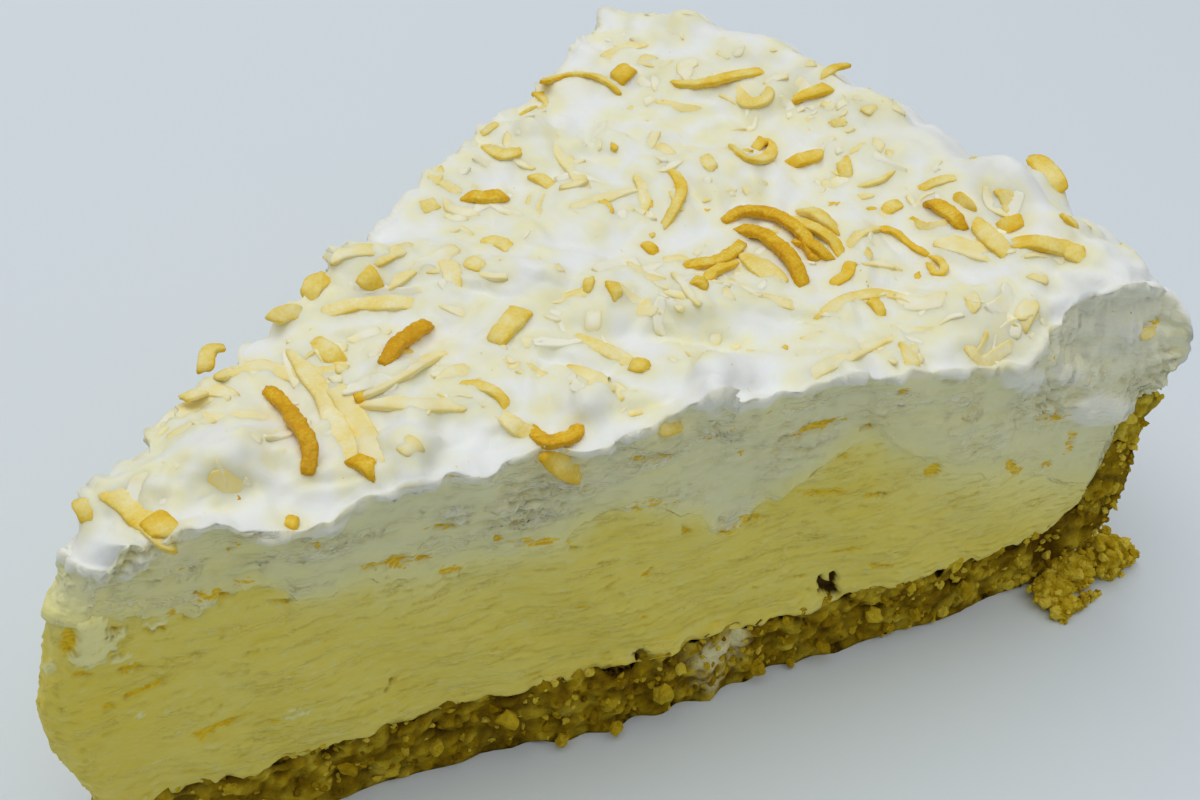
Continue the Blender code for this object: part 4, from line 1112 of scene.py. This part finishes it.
# Stretches of the frame where pale strips lie thick: middle and half size
CLUSTERS = ((190, 405, 45, 30), (250, 372, 60, 26), (330, 385, 45, 55), (400, 385, 60, 30), (475, 388, 50, 20), (400, 272, 60, 26),
            (350, 290, 45, 22), (300, 330, 40, 30), (480, 235, 60, 40), (450, 195, 50, 24), (525, 178, 40, 34), (590, 205, 60, 24),
            (625, 290, 55, 28), (705, 265, 70, 30), (760, 252, 60, 36), (900, 225, 60, 30), (965, 235, 60, 34), (1020, 225, 50, 30),
            (870, 318, 55, 24), (860, 352, 50, 14), (985, 310, 45, 28), (700, 90, 75, 24), (765, 130, 60, 30), (870, 160, 50, 30),
            (640, 50, 60, 30), (560, 115, 40, 22), (600, 345, 50, 26), (600, 385, 40, 16), (135, 515, 40, 26), (690, 190, 40, 30),
            (830, 100, 50, 26), (700, 30, 50, 18), (1000, 350, 60, 16))


def strand(surface, rng, p, n, length, width, thick, put, tone, sink):
    ang = rng.uniform(0, math.tau)
    t = unit(np.cross(n, [math.cos(ang), math.sin(ang), 0.3 * rng.normal()]))
    side = unit(np.cross(n, t))
    bend = rng.normal() * 0.16
    line = []
    for q in np.linspace(-0.5, 0.5, max(5, int(length / 0.9) + 1)):
        g = p + t * (q * length) + side * (bend * length * (4 * q * q))
        hit = surface.below(g[0], g[1])
        if hit is None or abs(hit[0][2] - p[2]) > 3.0:
            return False
        line.append(hit[0] + hit[1] * sink)
    line, _ = even(np.array(line), 0.30, 6)
    put(line, width, thick, tone, n, rng.uniform(-0.3, 0.3))
    return True


def coconut(cream_sh):
    surface = Surface([cream_sh])
    rng = np.random.default_rng(404)
    piles = {"coconut_pale": Pile(), "coconut_golden": Pile(), "coconut_brown": Pile()}
    marks = []

    def put(line, width, thick, tone, normal, twist, rough=None):
        name = "coconut_pale" if tone < 0.30 else "coconut_golden" if tone < 0.66 else "coconut_brown"
        marks.extend((q, width) for q in line[::3])
        add_strip(piles[name], strip(line, width, thick, rng, 0.3 + 1.1 * tone if rough is None else rough, normal, twist), tone)

    for path, width, tone, lift, flat in SHREDS:
        pts, nrm = lay(surface, path)
        line, length = even(pts, 0.28, 8)
        u = np.linspace(0, 1, len(line))
        thick = max(0.42, width * flat * (0.50 + 0.30 * tone))
        rise = lift * np.sin(math.pi * u) ** 0.8 * (0.75 + 0.25 * np.sin(2.3 * math.pi * u + rng.uniform(0, 6)))
        keep = smooth(0.15, 0.8, tone)
        rise = rise * (0.20 + 0.80 * keep) + (0.30 * keep - 0.08) * thick - 0.25 * thick * (np.exp(-(u / 0.12) ** 2) + np.exp(-((1 - u) / 0.12) ** 2))
        line = line + nrm * rise[:, None]
        wob = 0.22 * np.stack([noise(P3(u * length / 3.2, 7.7 * k + rng.uniform(0, 99))) for k in range(3)], -1)
        line = line + wob * np.array([1, 1, 0.5])
        put(line, width, thick, tone, nrm, rng.uniform(-0.7, 0.7) * min(1.0, length / 8))
    # pale soft strips that lie half sunk between them
    for cx, cy, hx, hy in CLUSTERS:
        for _ in range(int(1 + hx * hy / 620.0)):
            px, py = cx + hx * rng.uniform(-1, 1), cy + hy * rng.uniform(-1, 1)
            hit = surface.seen(px, py)
            if hit is None or hit[1][2] < 0.5:
                continue
            width = rng.uniform(1.2, 2.2)
            strand(surface, rng, hit[0], hit[1], rng.uniform(2.5, 7.0), width, width * rng.uniform(0.24, 0.34), put,
                   rng.uniform(-0.05, 0.20) if rng.uniform() < 0.8 else rng.uniform(0.25, 0.45), rng.uniform(-0.16, 0.06))
    # small chips and slivers, scattered
    placed, tries = 0, 0
    while placed < 300 and tries < 8000:
        tries += 1
        r = 6 + 111 * math.sqrt(rng.uniform(0, 1))
        vv = rng.uniform(-0.97, 0.97)
        x, y = plan(r, vv)
        x, y = float(x), float(y)
        hit = surface.below(x, y)
        if hit is None or hit[0][2] < 36:
            continue
        p, n = hit
        px, py = pixel_of(p)
        if any(a < px < c and b < py < d for a, b, c, d in BARE) and rng.uniform() < 0.94:
            continue
        crowd = noise(P3(x / 9.0, y / 9.0), 301)
        if rng.uniform() > 0.45 + 0.75 * crowd:
            continue
        kind = rng.uniform()
        if kind < 0.66:
            length, width, tone = rng.uniform(0.7, 2.0), rng.uniform(0.6, 1.4), rng.uniform(-0.05, 0.18)
        elif kind < 0.85:
            length, width, tone = rng.uniform(1.4, 3.4), rng.uniform(0.8, 1.6), rng.uniform(0.0, 0.26)
        elif kind < 0.96:
            length, width, tone = rng.uniform(0.9, 2.6), rng.uniform(0.6, 1.2), rng.uniform(0.40, 0.62)
        else:
            length, width, tone = rng.uniform(0.6, 1.6), rng.uniform(0.45, 0.8), rng.uniform(0.70, 0.95)
        ang = rng.uniform(0, math.tau)
        t = unit(np.cross(n, [math.cos(ang), math.sin(ang), 0.3 * rng.normal()]))
        k = max(5, int(length / 0.35) + 1)
        u = np.linspace(-0.5, 0.5, k)
        bend = rng.normal() * 0.12
        side = unit(np.cross(n, t))
        thick = width * rng.uniform(0.30, 0.50)
        line = p + t * (u * length)[:, None] + side * (bend * length * (u * u) * 4)[:, None] + n * (rng.uniform(-0.22, 0.12) * thick)
        tilt = rng.normal() * 0.12
        line = line + n * (u * length * tilt)[:, None]
        put(line, width, thick, tone, n, rng.uniform(-0.3, 0.3))
        placed += 1
    return [pile.object(name) for name, pile in piles.items()], marks


def stain(cream, cream_sh, marks):
    """The cream is tinted a little round the coconut."""
    tree = KDTree(len(marks))
    for k, (q, width) in enumerate(marks):
        tree.insert(Vector(q), k)
    tree.balance()
    val = np.zeros(len(cream_sh.co), np.float32)
    for k in np.nonzero((cream_sh.patch == 1) | (cream_sh.z > 38))[0]:
        _, who, dist = tree.find(Vector(cream_sh.co[k]))
        val[k] = math.exp(-(max(0.0, dist - 0.35 * marks[who][1]) / 1.3) ** 2)
    val *= (0.75 + 0.35 * noise(cream_sh.co / 2.0, 111)).astype(np.float32)
    lift = 0.30 * np.clip(val, 0, 1) * (cream_sh.patch == 1)
    flat = np.zeros(len(cream_sh.co) * 3, np.float32)
    cream.data.vertices.foreach_get("co", flat)
    flat[2::3] += (lift * MM).astype(np.float32)
    cream.data.vertices.foreach_set("co", flat)
    cream.data.update()
    at = cream.data.attributes.new("halo", "FLOAT", "POINT")
    at.data.foreach_set("value", np.clip(val, 0, 1).astype(np.float32))


# ------------------------------------------------------------------ crumbs of the crust
def finer(v, t):
    """Each triangle of a ball split in four."""
    verts, mids, out = v.tolist(), {}, []

    def mid(a, b):
        key = (min(a, b), max(a, b))
        if key not in mids:
            verts.append(unit(np.array(verts[a]) + np.array(verts[b])).tolist())
            mids[key] = len(verts) - 1
        return mids[key]
    for a, b, c in t:
        a, b, c = int(a), int(b), int(c)
        ab, bc, ca = mid(a, b), mid(b, c), mid(c, a)
        out += [(a, ab, ca), (b, bc, ab), (c, ca, bc), (ab, bc, ca)]
    return np.array(verts), np.array(out)


def ball():
    f = (1 + 5 ** 0.5) / 2
    v = unit(np.array([(-1, f, 0), (1, f, 0), (-1, -f, 0), (1, -f, 0), (0, -1, f), (0, 1, f), (0, -1, -f), (0, 1, -f), (f, 0, -1), (f, 0, 1), (-f, 0, -1), (-f, 0, 1)], float))
    t = [(0, 11, 5), (0, 5, 1), (0, 1, 7), (0, 7, 10), (0, 10, 11), (1, 5, 9), (5, 11, 4), (11, 10, 2), (10, 7, 6), (7, 1, 8), (3, 9, 4), (3, 4, 2), (3, 2, 6), (3, 6, 8), (3, 8, 9), (4, 9, 5), (2, 4, 11), (6, 2, 10), (8, 6, 7), (9, 8, 1)]
    return finer(v, t)


BALL_V, BALL_F = ball()
BIG_V, BIG_F = finer(*finer(BALL_V, BALL_F))


def granule(pile, centre, size, rng, tone):
    """A crumb: a chip with a few broken faces."""
    cutn = unit(rng.normal(size=(9, 3)))
    cuth = rng.uniform(0.62, 1.0, 9)
    reach = cuth[None] / np.maximum(BALL_V @ cutn.T, 0.05)
    rad = np.minimum(reach.min(1), 1.15)
    sc = np.array([1.0, rng.uniform(0.65, 1.0), rng.uniform(0.55, 0.95)])
    q, _ = np.linalg.qr(rng.normal(size=(3, 3)))
    if np.linalg.det(q) < 0:
        q[:, 0] = -q[:, 0]
    co = (BALL_V * rad[:, None] * (1 + 0.30 * noise(BALL_V * 2.6, rng.uniform(0, 400)))[:, None] * sc) @ q.T * (0.5 * size) + centre
    co[:, 2] = np.maximum(co[:, 2], 0.0)
    co[:, 1] = np.maximum(co[:, 1], -45.2)
    tone = tone + 0.30 * min(1.0, max(0.0, (centre[2] - 14.0) / 8.0))
    pile.add(co, BALL_F, tone=np.clip(tone + 0.12 * noise(BALL_V * 1.5 + centre, 3), 0, 1))


# crumbs that can be told apart along the near cut: radius, height, size
NEAR_CRUMBS = ((47.0, 1.2, 1.6), (52.9, 1.2, 1.8), (75.0, 0.9, 1.3), (78.6, 2.5, 2.0), (118.4, 4.2, 1.8), (24.0, 5.2, 2.0), (33.5, 4.2, 1.8),
               (41.0, 6.0, 2.2), (58.0, 4.8, 2.4), (85.0, 5.0, 2.2), (90.5, 3.4, 2.0), (97.0, 4.6, 2.4), (12.0, 4.4, 2.0), (70.5, 2.2, 2.0))


# lumps of crumbs at the outer corner: place of the foot in the frame, radius and height in mm
CORNER_LUMPS = ((1100, 566, 2.9, 4.6), (1118, 560, 1.9, 2.6), (1068, 578, 2.7, 3.8), (1050, 598, 2.4, 3.0), (1064, 612, 2.1, 2.0),
                (1090, 608, 1.7, 1.3), (1104, 604, 1.1, 0.9))


def heap(pile, foot, radius, height, rng):
    """A lump of pressed crumbs that stands on the table."""
    seed = rng.uniform(0, 400)
    lump = 1 + 0.22 * noise(BIG_V * 1.5, seed) + 0.16 * noise(BIG_V * 4.0, seed + 5)
    turn = rng.uniform(0, math.tau)
    c, s = math.cos(turn), math.sin(turn)
    co = BIG_V * lump[:, None] * np.array([radius, radius * rng.uniform(0.75, 0.95), height * 0.6])
    co = np.stack([c * co[:, 0] - s * co[:, 1], s * co[:, 0] + c * co[:, 1], co[:, 2]], -1) + foot + np.array([0, 0, 0.38 * height])
    co[:, 2] = np.maximum(co[:, 2], 0.0)
    co[:, 1] = np.maximum(co[:, 1], -44.8)
    pile.add(co, BIG_F, tone=np.clip(0.6 + 0.35 * noise(co / 1.1, 3), 0, 1))
    up = np.nonzero(co[:, 2] > 0.1)[0]
    for k in rng.choice(up, int(9 * radius * radius)):
        size = float(np.clip(rng.lognormal(-0.25, 0.40), 0.4, 1.6))
        granule(pile, co[k] + rng.normal(size=3) * 0.15, size, rng, rng.uniform(0.45, 1.1))


def crumbs(crust_sh):
    rng = np.random.default_rng(77)
    pile = Pile()
    quad = np.array([f for f in crust_sh.faces if len(f) == 4])
    a, b, c, d = (crust_sh.co[quad[:, k]] for k in range(4))
    cross = np.cross(c - a, d - b)
    area = 0.5 * np.linalg.norm(cross, axis=1)
    nrm = unit(cross)
    mid = (a + b + c + d) / 4
    s = crust_sh.r[quad].mean(1)
    patch = crust_sh.patch[quad].max(1)
    ok = (patch >= 2) | ((crust_sh.patch[quad].min(1) == 0) & (s > 107.5))
    ok &= (mid[:, 2] > 0.35)
    # nothing where the custard or cream lies against it
    ok &= ~((patch == 1))
    weight = area * ok
    weight[patch == 2] *= 1.3
    weight = weight / weight.sum()
    for k in rng.choice(len(quad), 1850, p=weight):
        size = float(np.clip(rng.lognormal(-0.22, 0.38), 0.40, 1.7))
        if rng.uniform() < 0.03:
            size *= 1.4
        centre = mid[k] + nrm[k] * size * rng.uniform(-0.22, 0.14)
        granule(pile, centre, size, rng, rng.uniform(0.05, 1.0))
    for sr, z, size in NEAR_CRUMBS:
        p = place(sr, -1.0, z)
        granule(pile, p + np.array([-math.sin(BETA), -math.cos(BETA), 0]) * 0.35 * size, size, rng, rng.uniform(0.35, 0.75))
    # lumps that broke away at the outer corner of the near cut
    surface = Surface([crust_sh])
    for px, py, radius, height in CORNER_LUMPS:
        d = sight(px, py)
        mid_g = CAM_POS + d * (-CAM_POS[2] / d[2])
        heap(pile, mid_g, radius, height, rng)
    return pile.object("crust_crumbs", False)


# ------------------------------------------------------------------ materials
class Paint:
    """Small helper round a material's node tree."""

    def __init__(self, name, **sockets):
        self.mat = bpy.data.materials.new(name)
        self.mat.use_nodes = True
        self.tree = self.mat.node_tree
        self.tree.nodes.clear()
        self.out = self.tree.nodes.new("ShaderNodeOutputMaterial")
        self.bsdf = self.tree.nodes.new("ShaderNodeBsdfPrincipled")
        self.tree.links.new(self.bsdf.outputs[0], self.out.inputs["Surface"])
        for key, val in sockets.items():
            self.bsdf.inputs[key.replace("_", " ")].default_value = val
        self.coord = self.tree.nodes.new("ShaderNodeTexCoord")

    def wire(self, src, dst):
        self.tree.links.new(src, dst)

    def attr(self, name):
        node = self.tree.nodes.new("ShaderNodeAttribute")
        node.attribute_name = name
        return node.outputs["Fac"]

    def grain(self, size_mm, detail=2.0, stretch=(1, 1, 1)):
        m = self.tree.nodes.new("ShaderNodeMapping")
        m.inputs["Scale"].default_value = tuple(1000.0 / size_mm * q for q in stretch)
        self.wire(self.coord.outputs["Object"], m.inputs["Vector"])
        n = self.tree.nodes.new("ShaderNodeTexNoise")
        n.inputs["Scale"].default_value = 1.0
        n.inputs["Detail"].default_value = detail
        self.wire(m.outputs[0], n.inputs["Vector"])
        return n.outputs["Fac"]

    def run(self, along_mm, up_mm, detail=2.0, distort=0.0):
        """Noise drawn out along the cut."""
        a = self.tree.nodes.new("ShaderNodeAttribute")
        a.attribute_name = "run"
        m = self.tree.nodes.new("ShaderNodeMapping")
        m.inputs["Scale"].default_value = (1.0 / along_mm, 1.0 / up_mm, 1.0)
        self.wire(a.outputs["Vector"], m.inputs["Vector"])
        n = self.tree.nodes.new("ShaderNodeTexNoise")
        n.inputs["Scale"].default_value = 1.0
        n.inputs["Detail"].default_value = detail
        n.inputs["Distortion"].default_value = distort
        self.wire(m.outputs[0], n.inputs["Vector"])
        return n.outputs["Fac"]

    def remap(self, value, lo, hi, to_lo=0.0, to_hi=1.0):
        n = self.tree.nodes.new("ShaderNodeMapRange")
        n.inputs["From Min"].default_value, n.inputs["From Max"].default_value = lo, hi
        n.inputs["To Min"].default_value, n.inputs["To Max"].default_value = to_lo, to_hi
        self.wire(value, n.inputs["Value"])
        return n.outputs["Result"]

    def math(self, op, a, b):
        n = self.tree.nodes.new("ShaderNodeMath")
        n.operation = op
        for k, q in enumerate((a, b)):
            if isinstance(q, (int, float)):
                n.inputs[k].default_value = q
            else:
                self.wire(q, n.inputs[k])
        return n.outputs[0]

    def mix(self, fac, a, b, mode="MIX"):
        n = self.tree.nodes.new("ShaderNodeMix")
        n.data_type = "RGBA"
        n.blend_type = mode
        n.clamp_factor = True
        if isinstance(fac, (int, float)):
            n.inputs[0].default_value = fac
        else:
            self.wire(fac, n.inputs[0])
        for k, q in ((6, a), (7, b)):
            if isinstance(q, tuple):
                n.inputs[k].default_value = (*q, 1.0)
            else:
                self.wire(q, n.inputs[k])
        return n.outputs[2]

    def ramp(self, fac, stops):
        n = self.tree.nodes.new("ShaderNodeValToRGB")
        el = n.color_ramp.elements
        while len(el) > 1:
            el.remove(el[-1])
        el[0].position, el[0].color = stops[0][0], (*stops[0][1], 1)
        for pos, col in stops[1:]:
            e = el.new(pos)
            e.color = (*col, 1)
        self.wire(fac, n.inputs[0])
        return n.outputs[0]

    def rim(self, value, at, half):
        """Thin line where a value passes a level."""
        return self.remap(self.math("ABSOLUTE", self.math("SUBTRACT", value, at), 0.0), 0.0, half, 1.0, 0.0)

    def colour(self, out):
        self.wire(out, self.bsdf.inputs["Base Color"])

    def bump(self, height, strength, dist_mm, below=None):
        n = self.tree.nodes.new("ShaderNodeBump")
        n.inputs["Strength"].default_value = strength
        n.inputs["Distance"].default_value = dist_mm * MM
        self.wire(height, n.inputs["Height"])
        if below is not None:
            self.wire(below, n.inputs["Normal"])
        self.wire(n.outputs[0], self.bsdf.inputs["Normal"])
        return n.outputs[0]


CREAM_TOP, CREAM_CUT, SEAM_MID = (0.94, 0.96, 0.92), (0.85, 0.83, 0.45), (0.90, 0.84, 0.34)
GOLD_PIT, CUSTARD, CUSTARD_DEEP, CUSTARD_PALE = (0.82, 0.48, 0.010), (0.90, 0.77, 0.155), (0.84, 0.63, 0.02), (0.98, 0.92, 0.40)
CRUST_MID, CRUST_DARK, CRUST_LIGHT = (0.46, 0.30, 0.006), (0.11, 0.055, 0.001), (0.72, 0.54, 0.035)
COCONUT = ((0.0, (0.97, 0.95, 0.78)), (0.14, (0.96, 0.89, 0.56)), (0.28, (0.95, 0.82, 0.37)), (0.45, (0.92, 0.73, 0.19)),
           (0.6, (0.90, 0.61, 0.05)), (0.8, (0.83, 0.48, 0.010)), (1.0, (0.71, 0.36, 0.004)))


def cream_material():
    m = Paint("whipped_cream_soft", Roughness=0.50, Specular_IOR_Level=0.22, Subsurface_Weight=0.45, Subsurface_Scale=0.0018)
    m.bsdf.inputs["Subsurface Radius"].default_value = (1.0, 0.9, 0.65)
    cap, torn = m.attr("cap"), m.attr("torn")
    broken = m.run(2.8, 0.85, 3, 0.9)
    broken2 = m.run(1.3, 0.42, 2, 0.0)
    where = m.attr("where")
    m.wire(m.remap(cap, 0.0, 1.0, 0.45, 0.0), m.bsdf.inputs["Subsurface Weight"])
    base = m.mix(m.remap(m.grain(9.0, 2), 0.45, 0.75), CREAM_TOP, (0.91, 0.91, 0.78))
    # painted shade colour on the cuts: each cut face is tinted warm to stand in for warm light in the shade, then takes
    # the yellower cut colour, partly the cream's own and partly painted shade
    base = m.mix(m.math("MULTIPLY", cap, 0.85), base, (0.96, 0.95, 0.82))
    base = m.mix(m.attr("cut"), base, m.mix(m.remap(m.grain(3.0, 3, (0.5, 0.5, 1.6)), 0.35, 0.7), CREAM_CUT, (0.86, 0.84, 0.52)))
    base = m.mix(m.attr("streak"), base, (0.88, 0.84, 0.44))
    base = m.mix(m.attr("yellow"), base, SEAM_MID)
    base = m.mix(m.math("MULTIPLY", torn, 0.35), base, (0.90, 0.90, 0.70))
    # painted shade in the recesses of the cut
    base = m.mix(m.math("MULTIPLY", m.attr("dent_shade"), 0.60), base, (0.82, 0.72, 0.32))
    # painted highlight and painted shade along the small tears: a light line on the raised edge, darker lines at the
    # foot and along the finer tears
    base = m.mix(m.math("MULTIPLY", m.rim(broken, 0.535, 0.022), m.math("MULTIPLY", where, 0.75)), base, (0.97, 0.97, 0.88))
    base = m.mix(m.math("MULTIPLY", m.rim(broken, 0.495, 0.020), m.math("MULTIPLY", where, 0.70)), base, (0.76, 0.63, 0.22))
    base = m.mix(m.math("MULTIPLY", m.rim(broken2, 0.5, 0.03), m.math("MULTIPLY", where, 0.25)), base, (0.78, 0.72, 0.38))
    gold = m.remap(m.math("ADD", m.attr("gold"), m.math("MULTIPLY", m.math("SUBTRACT", m.run(0.9, 0.28, 3, 0.0), 0.5), 2.2)), 0.46, 0.66)
    base = m.mix(gold, base, m.mix(m.remap(m.run(0.6, 0.22, 3), 0.42, 0.60), (0.94, 0.70, 0.05), GOLD_PIT))
    base = m.mix(m.math("MULTIPLY", m.attr("halo"), 0.75), base, (0.96, 0.88, 0.47))
    m.colour(base)
    both = m.math("ADD", m.remap(broken, 0.47, 0.55), m.remap(broken2, 0.44, 0.56, 0.0, 0.40))
    b = m.bump(m.math("MULTIPLY", both, where), 0.55, 0.26)
    b = m.bump(m.math("MULTIPLY", m.run(1.6, 0.38, 3, 0.0), cap), 0.42, 0.24, b)
    m.bump(m.grain(1.1, 3), 0.25, 0.22, b)
    return m.mat


def custard_material():
    m = Paint("custard_set", Roughness=0.50, Specular_IOR_Level=0.18, Subsurface_Weight=0.0)
    broken = m.run(4.2, 0.75, 3, 0.9)
    broken2 = m.run(1.8, 0.36, 2, 0.0)
    where = m.attr("where")
    base = m.mix(m.remap(m.grain(5.0, 3, (0.5, 0.5, 1.8)), 0.35, 0.7), CUSTARD, (0.88, 0.735, 0.12))
    base = m.mix(m.remap(m.grain(0.8, 2, (0.6, 0.6, 1.5)), 0.55, 0.8, 0.0, 0.5), base, (0.90, 0.86, 0.40))
    base = m.mix(m.attr("deep"), base, CUSTARD_DEEP)
    base = m.mix(m.attr("white"), base, SEAM_MID)
    base = m.mix(m.attr("smear"), base, CUSTARD_PALE)
    # painted shade under the custard's ledges
    base = m.mix(m.math("MULTIPLY", m.attr("ledge_shade"), 0.45), base, (0.72, 0.56, 0.05))
    # painted shade in the recesses of the custard's cut
    base = m.mix(m.math("MULTIPLY", m.attr("dent_shade"), 0.45), base, (0.84, 0.67, 0.07))
    # painted highlight and painted shade along the small tears: a light line on the raised edge, darker lines at the
    # foot and along the finer tears
    base = m.mix(m.math("MULTIPLY", m.rim(broken, 0.530, 0.018), m.math("MULTIPLY", where, 0.50)), base, (0.94, 0.89, 0.42))
    base = m.mix(m.math("MULTIPLY", m.rim(broken, 0.500, 0.016), m.math("MULTIPLY", where, 0.65)), base, (0.78, 0.58, 0.03))
    base = m.mix(m.math("MULTIPLY", m.rim(broken2, 0.5, 0.028), m.math("MULTIPLY", where, 0.30)), base, (0.78, 0.63, 0.08))
    gold = m.remap(m.math("ADD", m.attr("gold"), m.math("MULTIPLY", m.math("SUBTRACT", m.run(0.9, 0.26, 3, 0.0), 0.5), 2.0)), 0.46, 0.68)
    base = m.mix(gold, base, m.mix(m.remap(m.run(0.6, 0.22, 3), 0.42, 0.60), (0.96, 0.72, 0.03), (0.86, 0.55, 0.010)))
    # painted shade: nearly black in the pits and the notch
    base = m.mix(m.remap(m.attr("pit_shade"), 0.25, 0.7), base, (0.10, 0.05, 0.002))
    m.colour(base)
    both = m.math("ADD", m.remap(broken, 0.47, 0.55), m.remap(broken2, 0.45, 0.55, 0.0, 0.30))
    b = m.bump(m.math("MULTIPLY", both, where), 0.50, 0.20)
    b = m.bump(m.run(1.5, 0.33, 3, 0.0), 0.38, 0.22, b)
    m.bump(m.run(5.0, 1.0, 1, 0.0), 0.30, 0.30, b)
    return m.mat


def crust_material(name, crumb):
    m = Paint(name, Roughness=0.85, Specular_IOR_Level=0.08, Subsurface_Weight=0.0)
    tone = m.math("ADD", m.attr("tone"), m.math("MULTIPLY", m.math("SUBTRACT", m.grain(1.0, 3), 0.5), 0.6))
    base = m.ramp(tone, [(0.05, (0.20, 0.11, 0.002)), (0.45, CRUST_MID), (0.80, CRUST_LIGHT), (1.0, (0.80, 0.62, 0.07))])
    if not crumb:
        # painted shade: gaps, holes, pockets and hollows darkened towards CRUST_DARK
        base = m.mix(m.attr("dark"), base, CRUST_DARK)
        base = m.mix(m.attr("pale"), base, (0.86, 0.80, 0.45))
    base = m.mix(m.remap(m.grain(0.5, 2), 0.62, 0.78, 0.0, 0.6), base, (0.16, 0.09, 0.005))
    m.colour(base)
    b = m.bump(m.grain(0.7, 3), 0.85, 0.42)
    m.bump(m.grain(0.24, 2), 0.5, 0.12, b)
    return m.mat


def coconut_material(name, grit):
    m = Paint(name, Roughness=0.48, Specular_IOR_Level=0.22, Subsurface_Weight=0.0)
    tone = m.math("ADD", m.attr("tone"), m.math("MULTIPLY", m.math("SUBTRACT", m.grain(1.3, 3), 0.5), 0.30 + 0.2 * grit))
    tone = m.math("ADD", tone, m.math("MULTIPLY", m.math("SUBTRACT", m.grain(0.35, 2), 0.5), 0.12 + 0.6 * grit))
    m.colour(m.ramp(tone, COCONUT))
    b = m.bump(m.grain(0.7, 3), 0.25 + 0.5 * grit, 0.12 + 0.14 * grit)
    m.bump(m.grain(0.28, 2), 0.15 + 0.6 * grit, 0.05 + 0.10 * grit, b)
    return m.mat


def floor_material():
    m = Paint("table", Roughness=0.7, Specular_IOR_Level=0.2)
    m.colour(m.mix(m.grain(60.0, 2), (0.74, 0.80, 0.86), (0.76, 0.82, 0.87)))
    return m.mat


def wear(ob, mat):
    ob.data.materials.clear()
    ob.data.materials.append(mat)


# ------------------------------------------------------------------ the scene
def to_world(p):
    return Vector(((p[0] + X_SHIFT) * MM, p[1] * MM, p[2] * MM))


def add_camera():
    cam = bpy.data.cameras.new("camera")
    cam.type = "PERSP"
    cam.sensor_fit = "HORIZONTAL"
    cam.sensor_width = 36.0
    cam.lens = 36.0 * F_PX / FRAME_W
    cam.clip_start, cam.clip_end = 0.005, 20.0
    ob = bpy.data.objects.new("camera", cam)
    bpy.context.scene.collection.objects.link(ob)
    m = Matrix.Identity(4)
    for k in range(3):
        m[k][0], m[k][1], m[k][2] = CAM_RIGHT[k], CAM_UP[k], CAM_BACK[k]
    m.translation = to_world(CAM_POS)
    ob.matrix_world = m
    bpy.context.scene.camera = ob


def add_area(name, direction, distance, size, power, colour):
    light = bpy.data.lights.new(name, "AREA")
    light.shape = "SQUARE"
    light.size = size
    light.energy = power
    light.color = colour
    ob = bpy.data.objects.new(name, light)
    bpy.context.scene.collection.objects.link(ob)
    d = Vector(direction).normalized()
    ob.location = Vector((0, 0, 0.03)) + d * distance
    ob.rotation_euler = d.to_track_quat("Z", "Y").to_euler()
    return ob


def add_world(colour, low, high, power):
    """A soft sky, brightest overhead."""
    world = bpy.data.worlds.new("sky")
    world.use_nodes = True
    tree = world.node_tree
    bg = tree.nodes.get("Background") or tree.nodes.new("ShaderNodeBackground")
    bg.inputs["Color"].default_value = (*colour, 1)
    coord = tree.nodes.new("ShaderNodeTexCoord")
    axes = tree.nodes.new("ShaderNodeSeparateXYZ")
    tree.links.new(coord.outputs["Generated"], axes.inputs[0])
    last = axes.outputs["Z"]
    for op, val in (("MAXIMUM", 0.0), ("POWER", power), ("MULTIPLY", high - low), ("ADD", low)):
        n = tree.nodes.new("ShaderNodeMath")
        n.operation = op
        tree.links.new(last, n.inputs[0])
        n.inputs[1].default_value = val
        last = n.outputs[0]
    tree.links.new(last, bg.inputs["Strength"])
    bpy.context.scene.world = world


def add_floor():
    half = 2.0
    mesh = bpy.data.meshes.new("table_top")
    mesh.from_pydata([(-half, -half, 0), (half, -half, 0), (half, half, 0), (-half, half, 0)], [], [(0, 1, 2, 3)])
    ob = bpy.data.objects.new("table_top", mesh)
    bpy.context.scene.collection.objects.link(ob)
    return ob


def main():
    cream, cream_sh = build_cream()
    custard, _ = build_custard()
    crust, crust_sh = build_crust()
    shreds, marks = coconut(cream_sh)
    stain(cream, cream_sh, marks)
    loose = crumbs(crust_sh)

    wear(cream, cream_material())
    wear(custard, custard_material())
    wear(crust, crust_material("crumb_crust_baked", False))
    wear(loose, crust_material("crust_crumb", True))
    for ob, grit in zip(shreds, (0.0, 0.3, 0.9)):
        wear(ob, coconut_material(ob.name + "_toasted", grit))

    for ob in [cream, custard, crust, loose] + shreds:
        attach(ob, "root")
    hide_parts("whipped_cream")
    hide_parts("custard")
    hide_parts("crust")

    floor = add_floor()
    wear(floor, floor_material())
    add_camera()
    add_world((0.97, 1.0, 1.03), 0.07, 1.05, 2.2)
    add_area("window", (0.05, 0.45, 1.0), 0.65, 0.60, 1.5, (1.0, 1.0, 0.98))
    add_area("side", (0.43, -0.71, 0.38), 0.21, 0.12, 0.018, (1.0, 1.0, 0.97))
    bpy.context.scene.view_settings.view_transform = "Standard"


main()
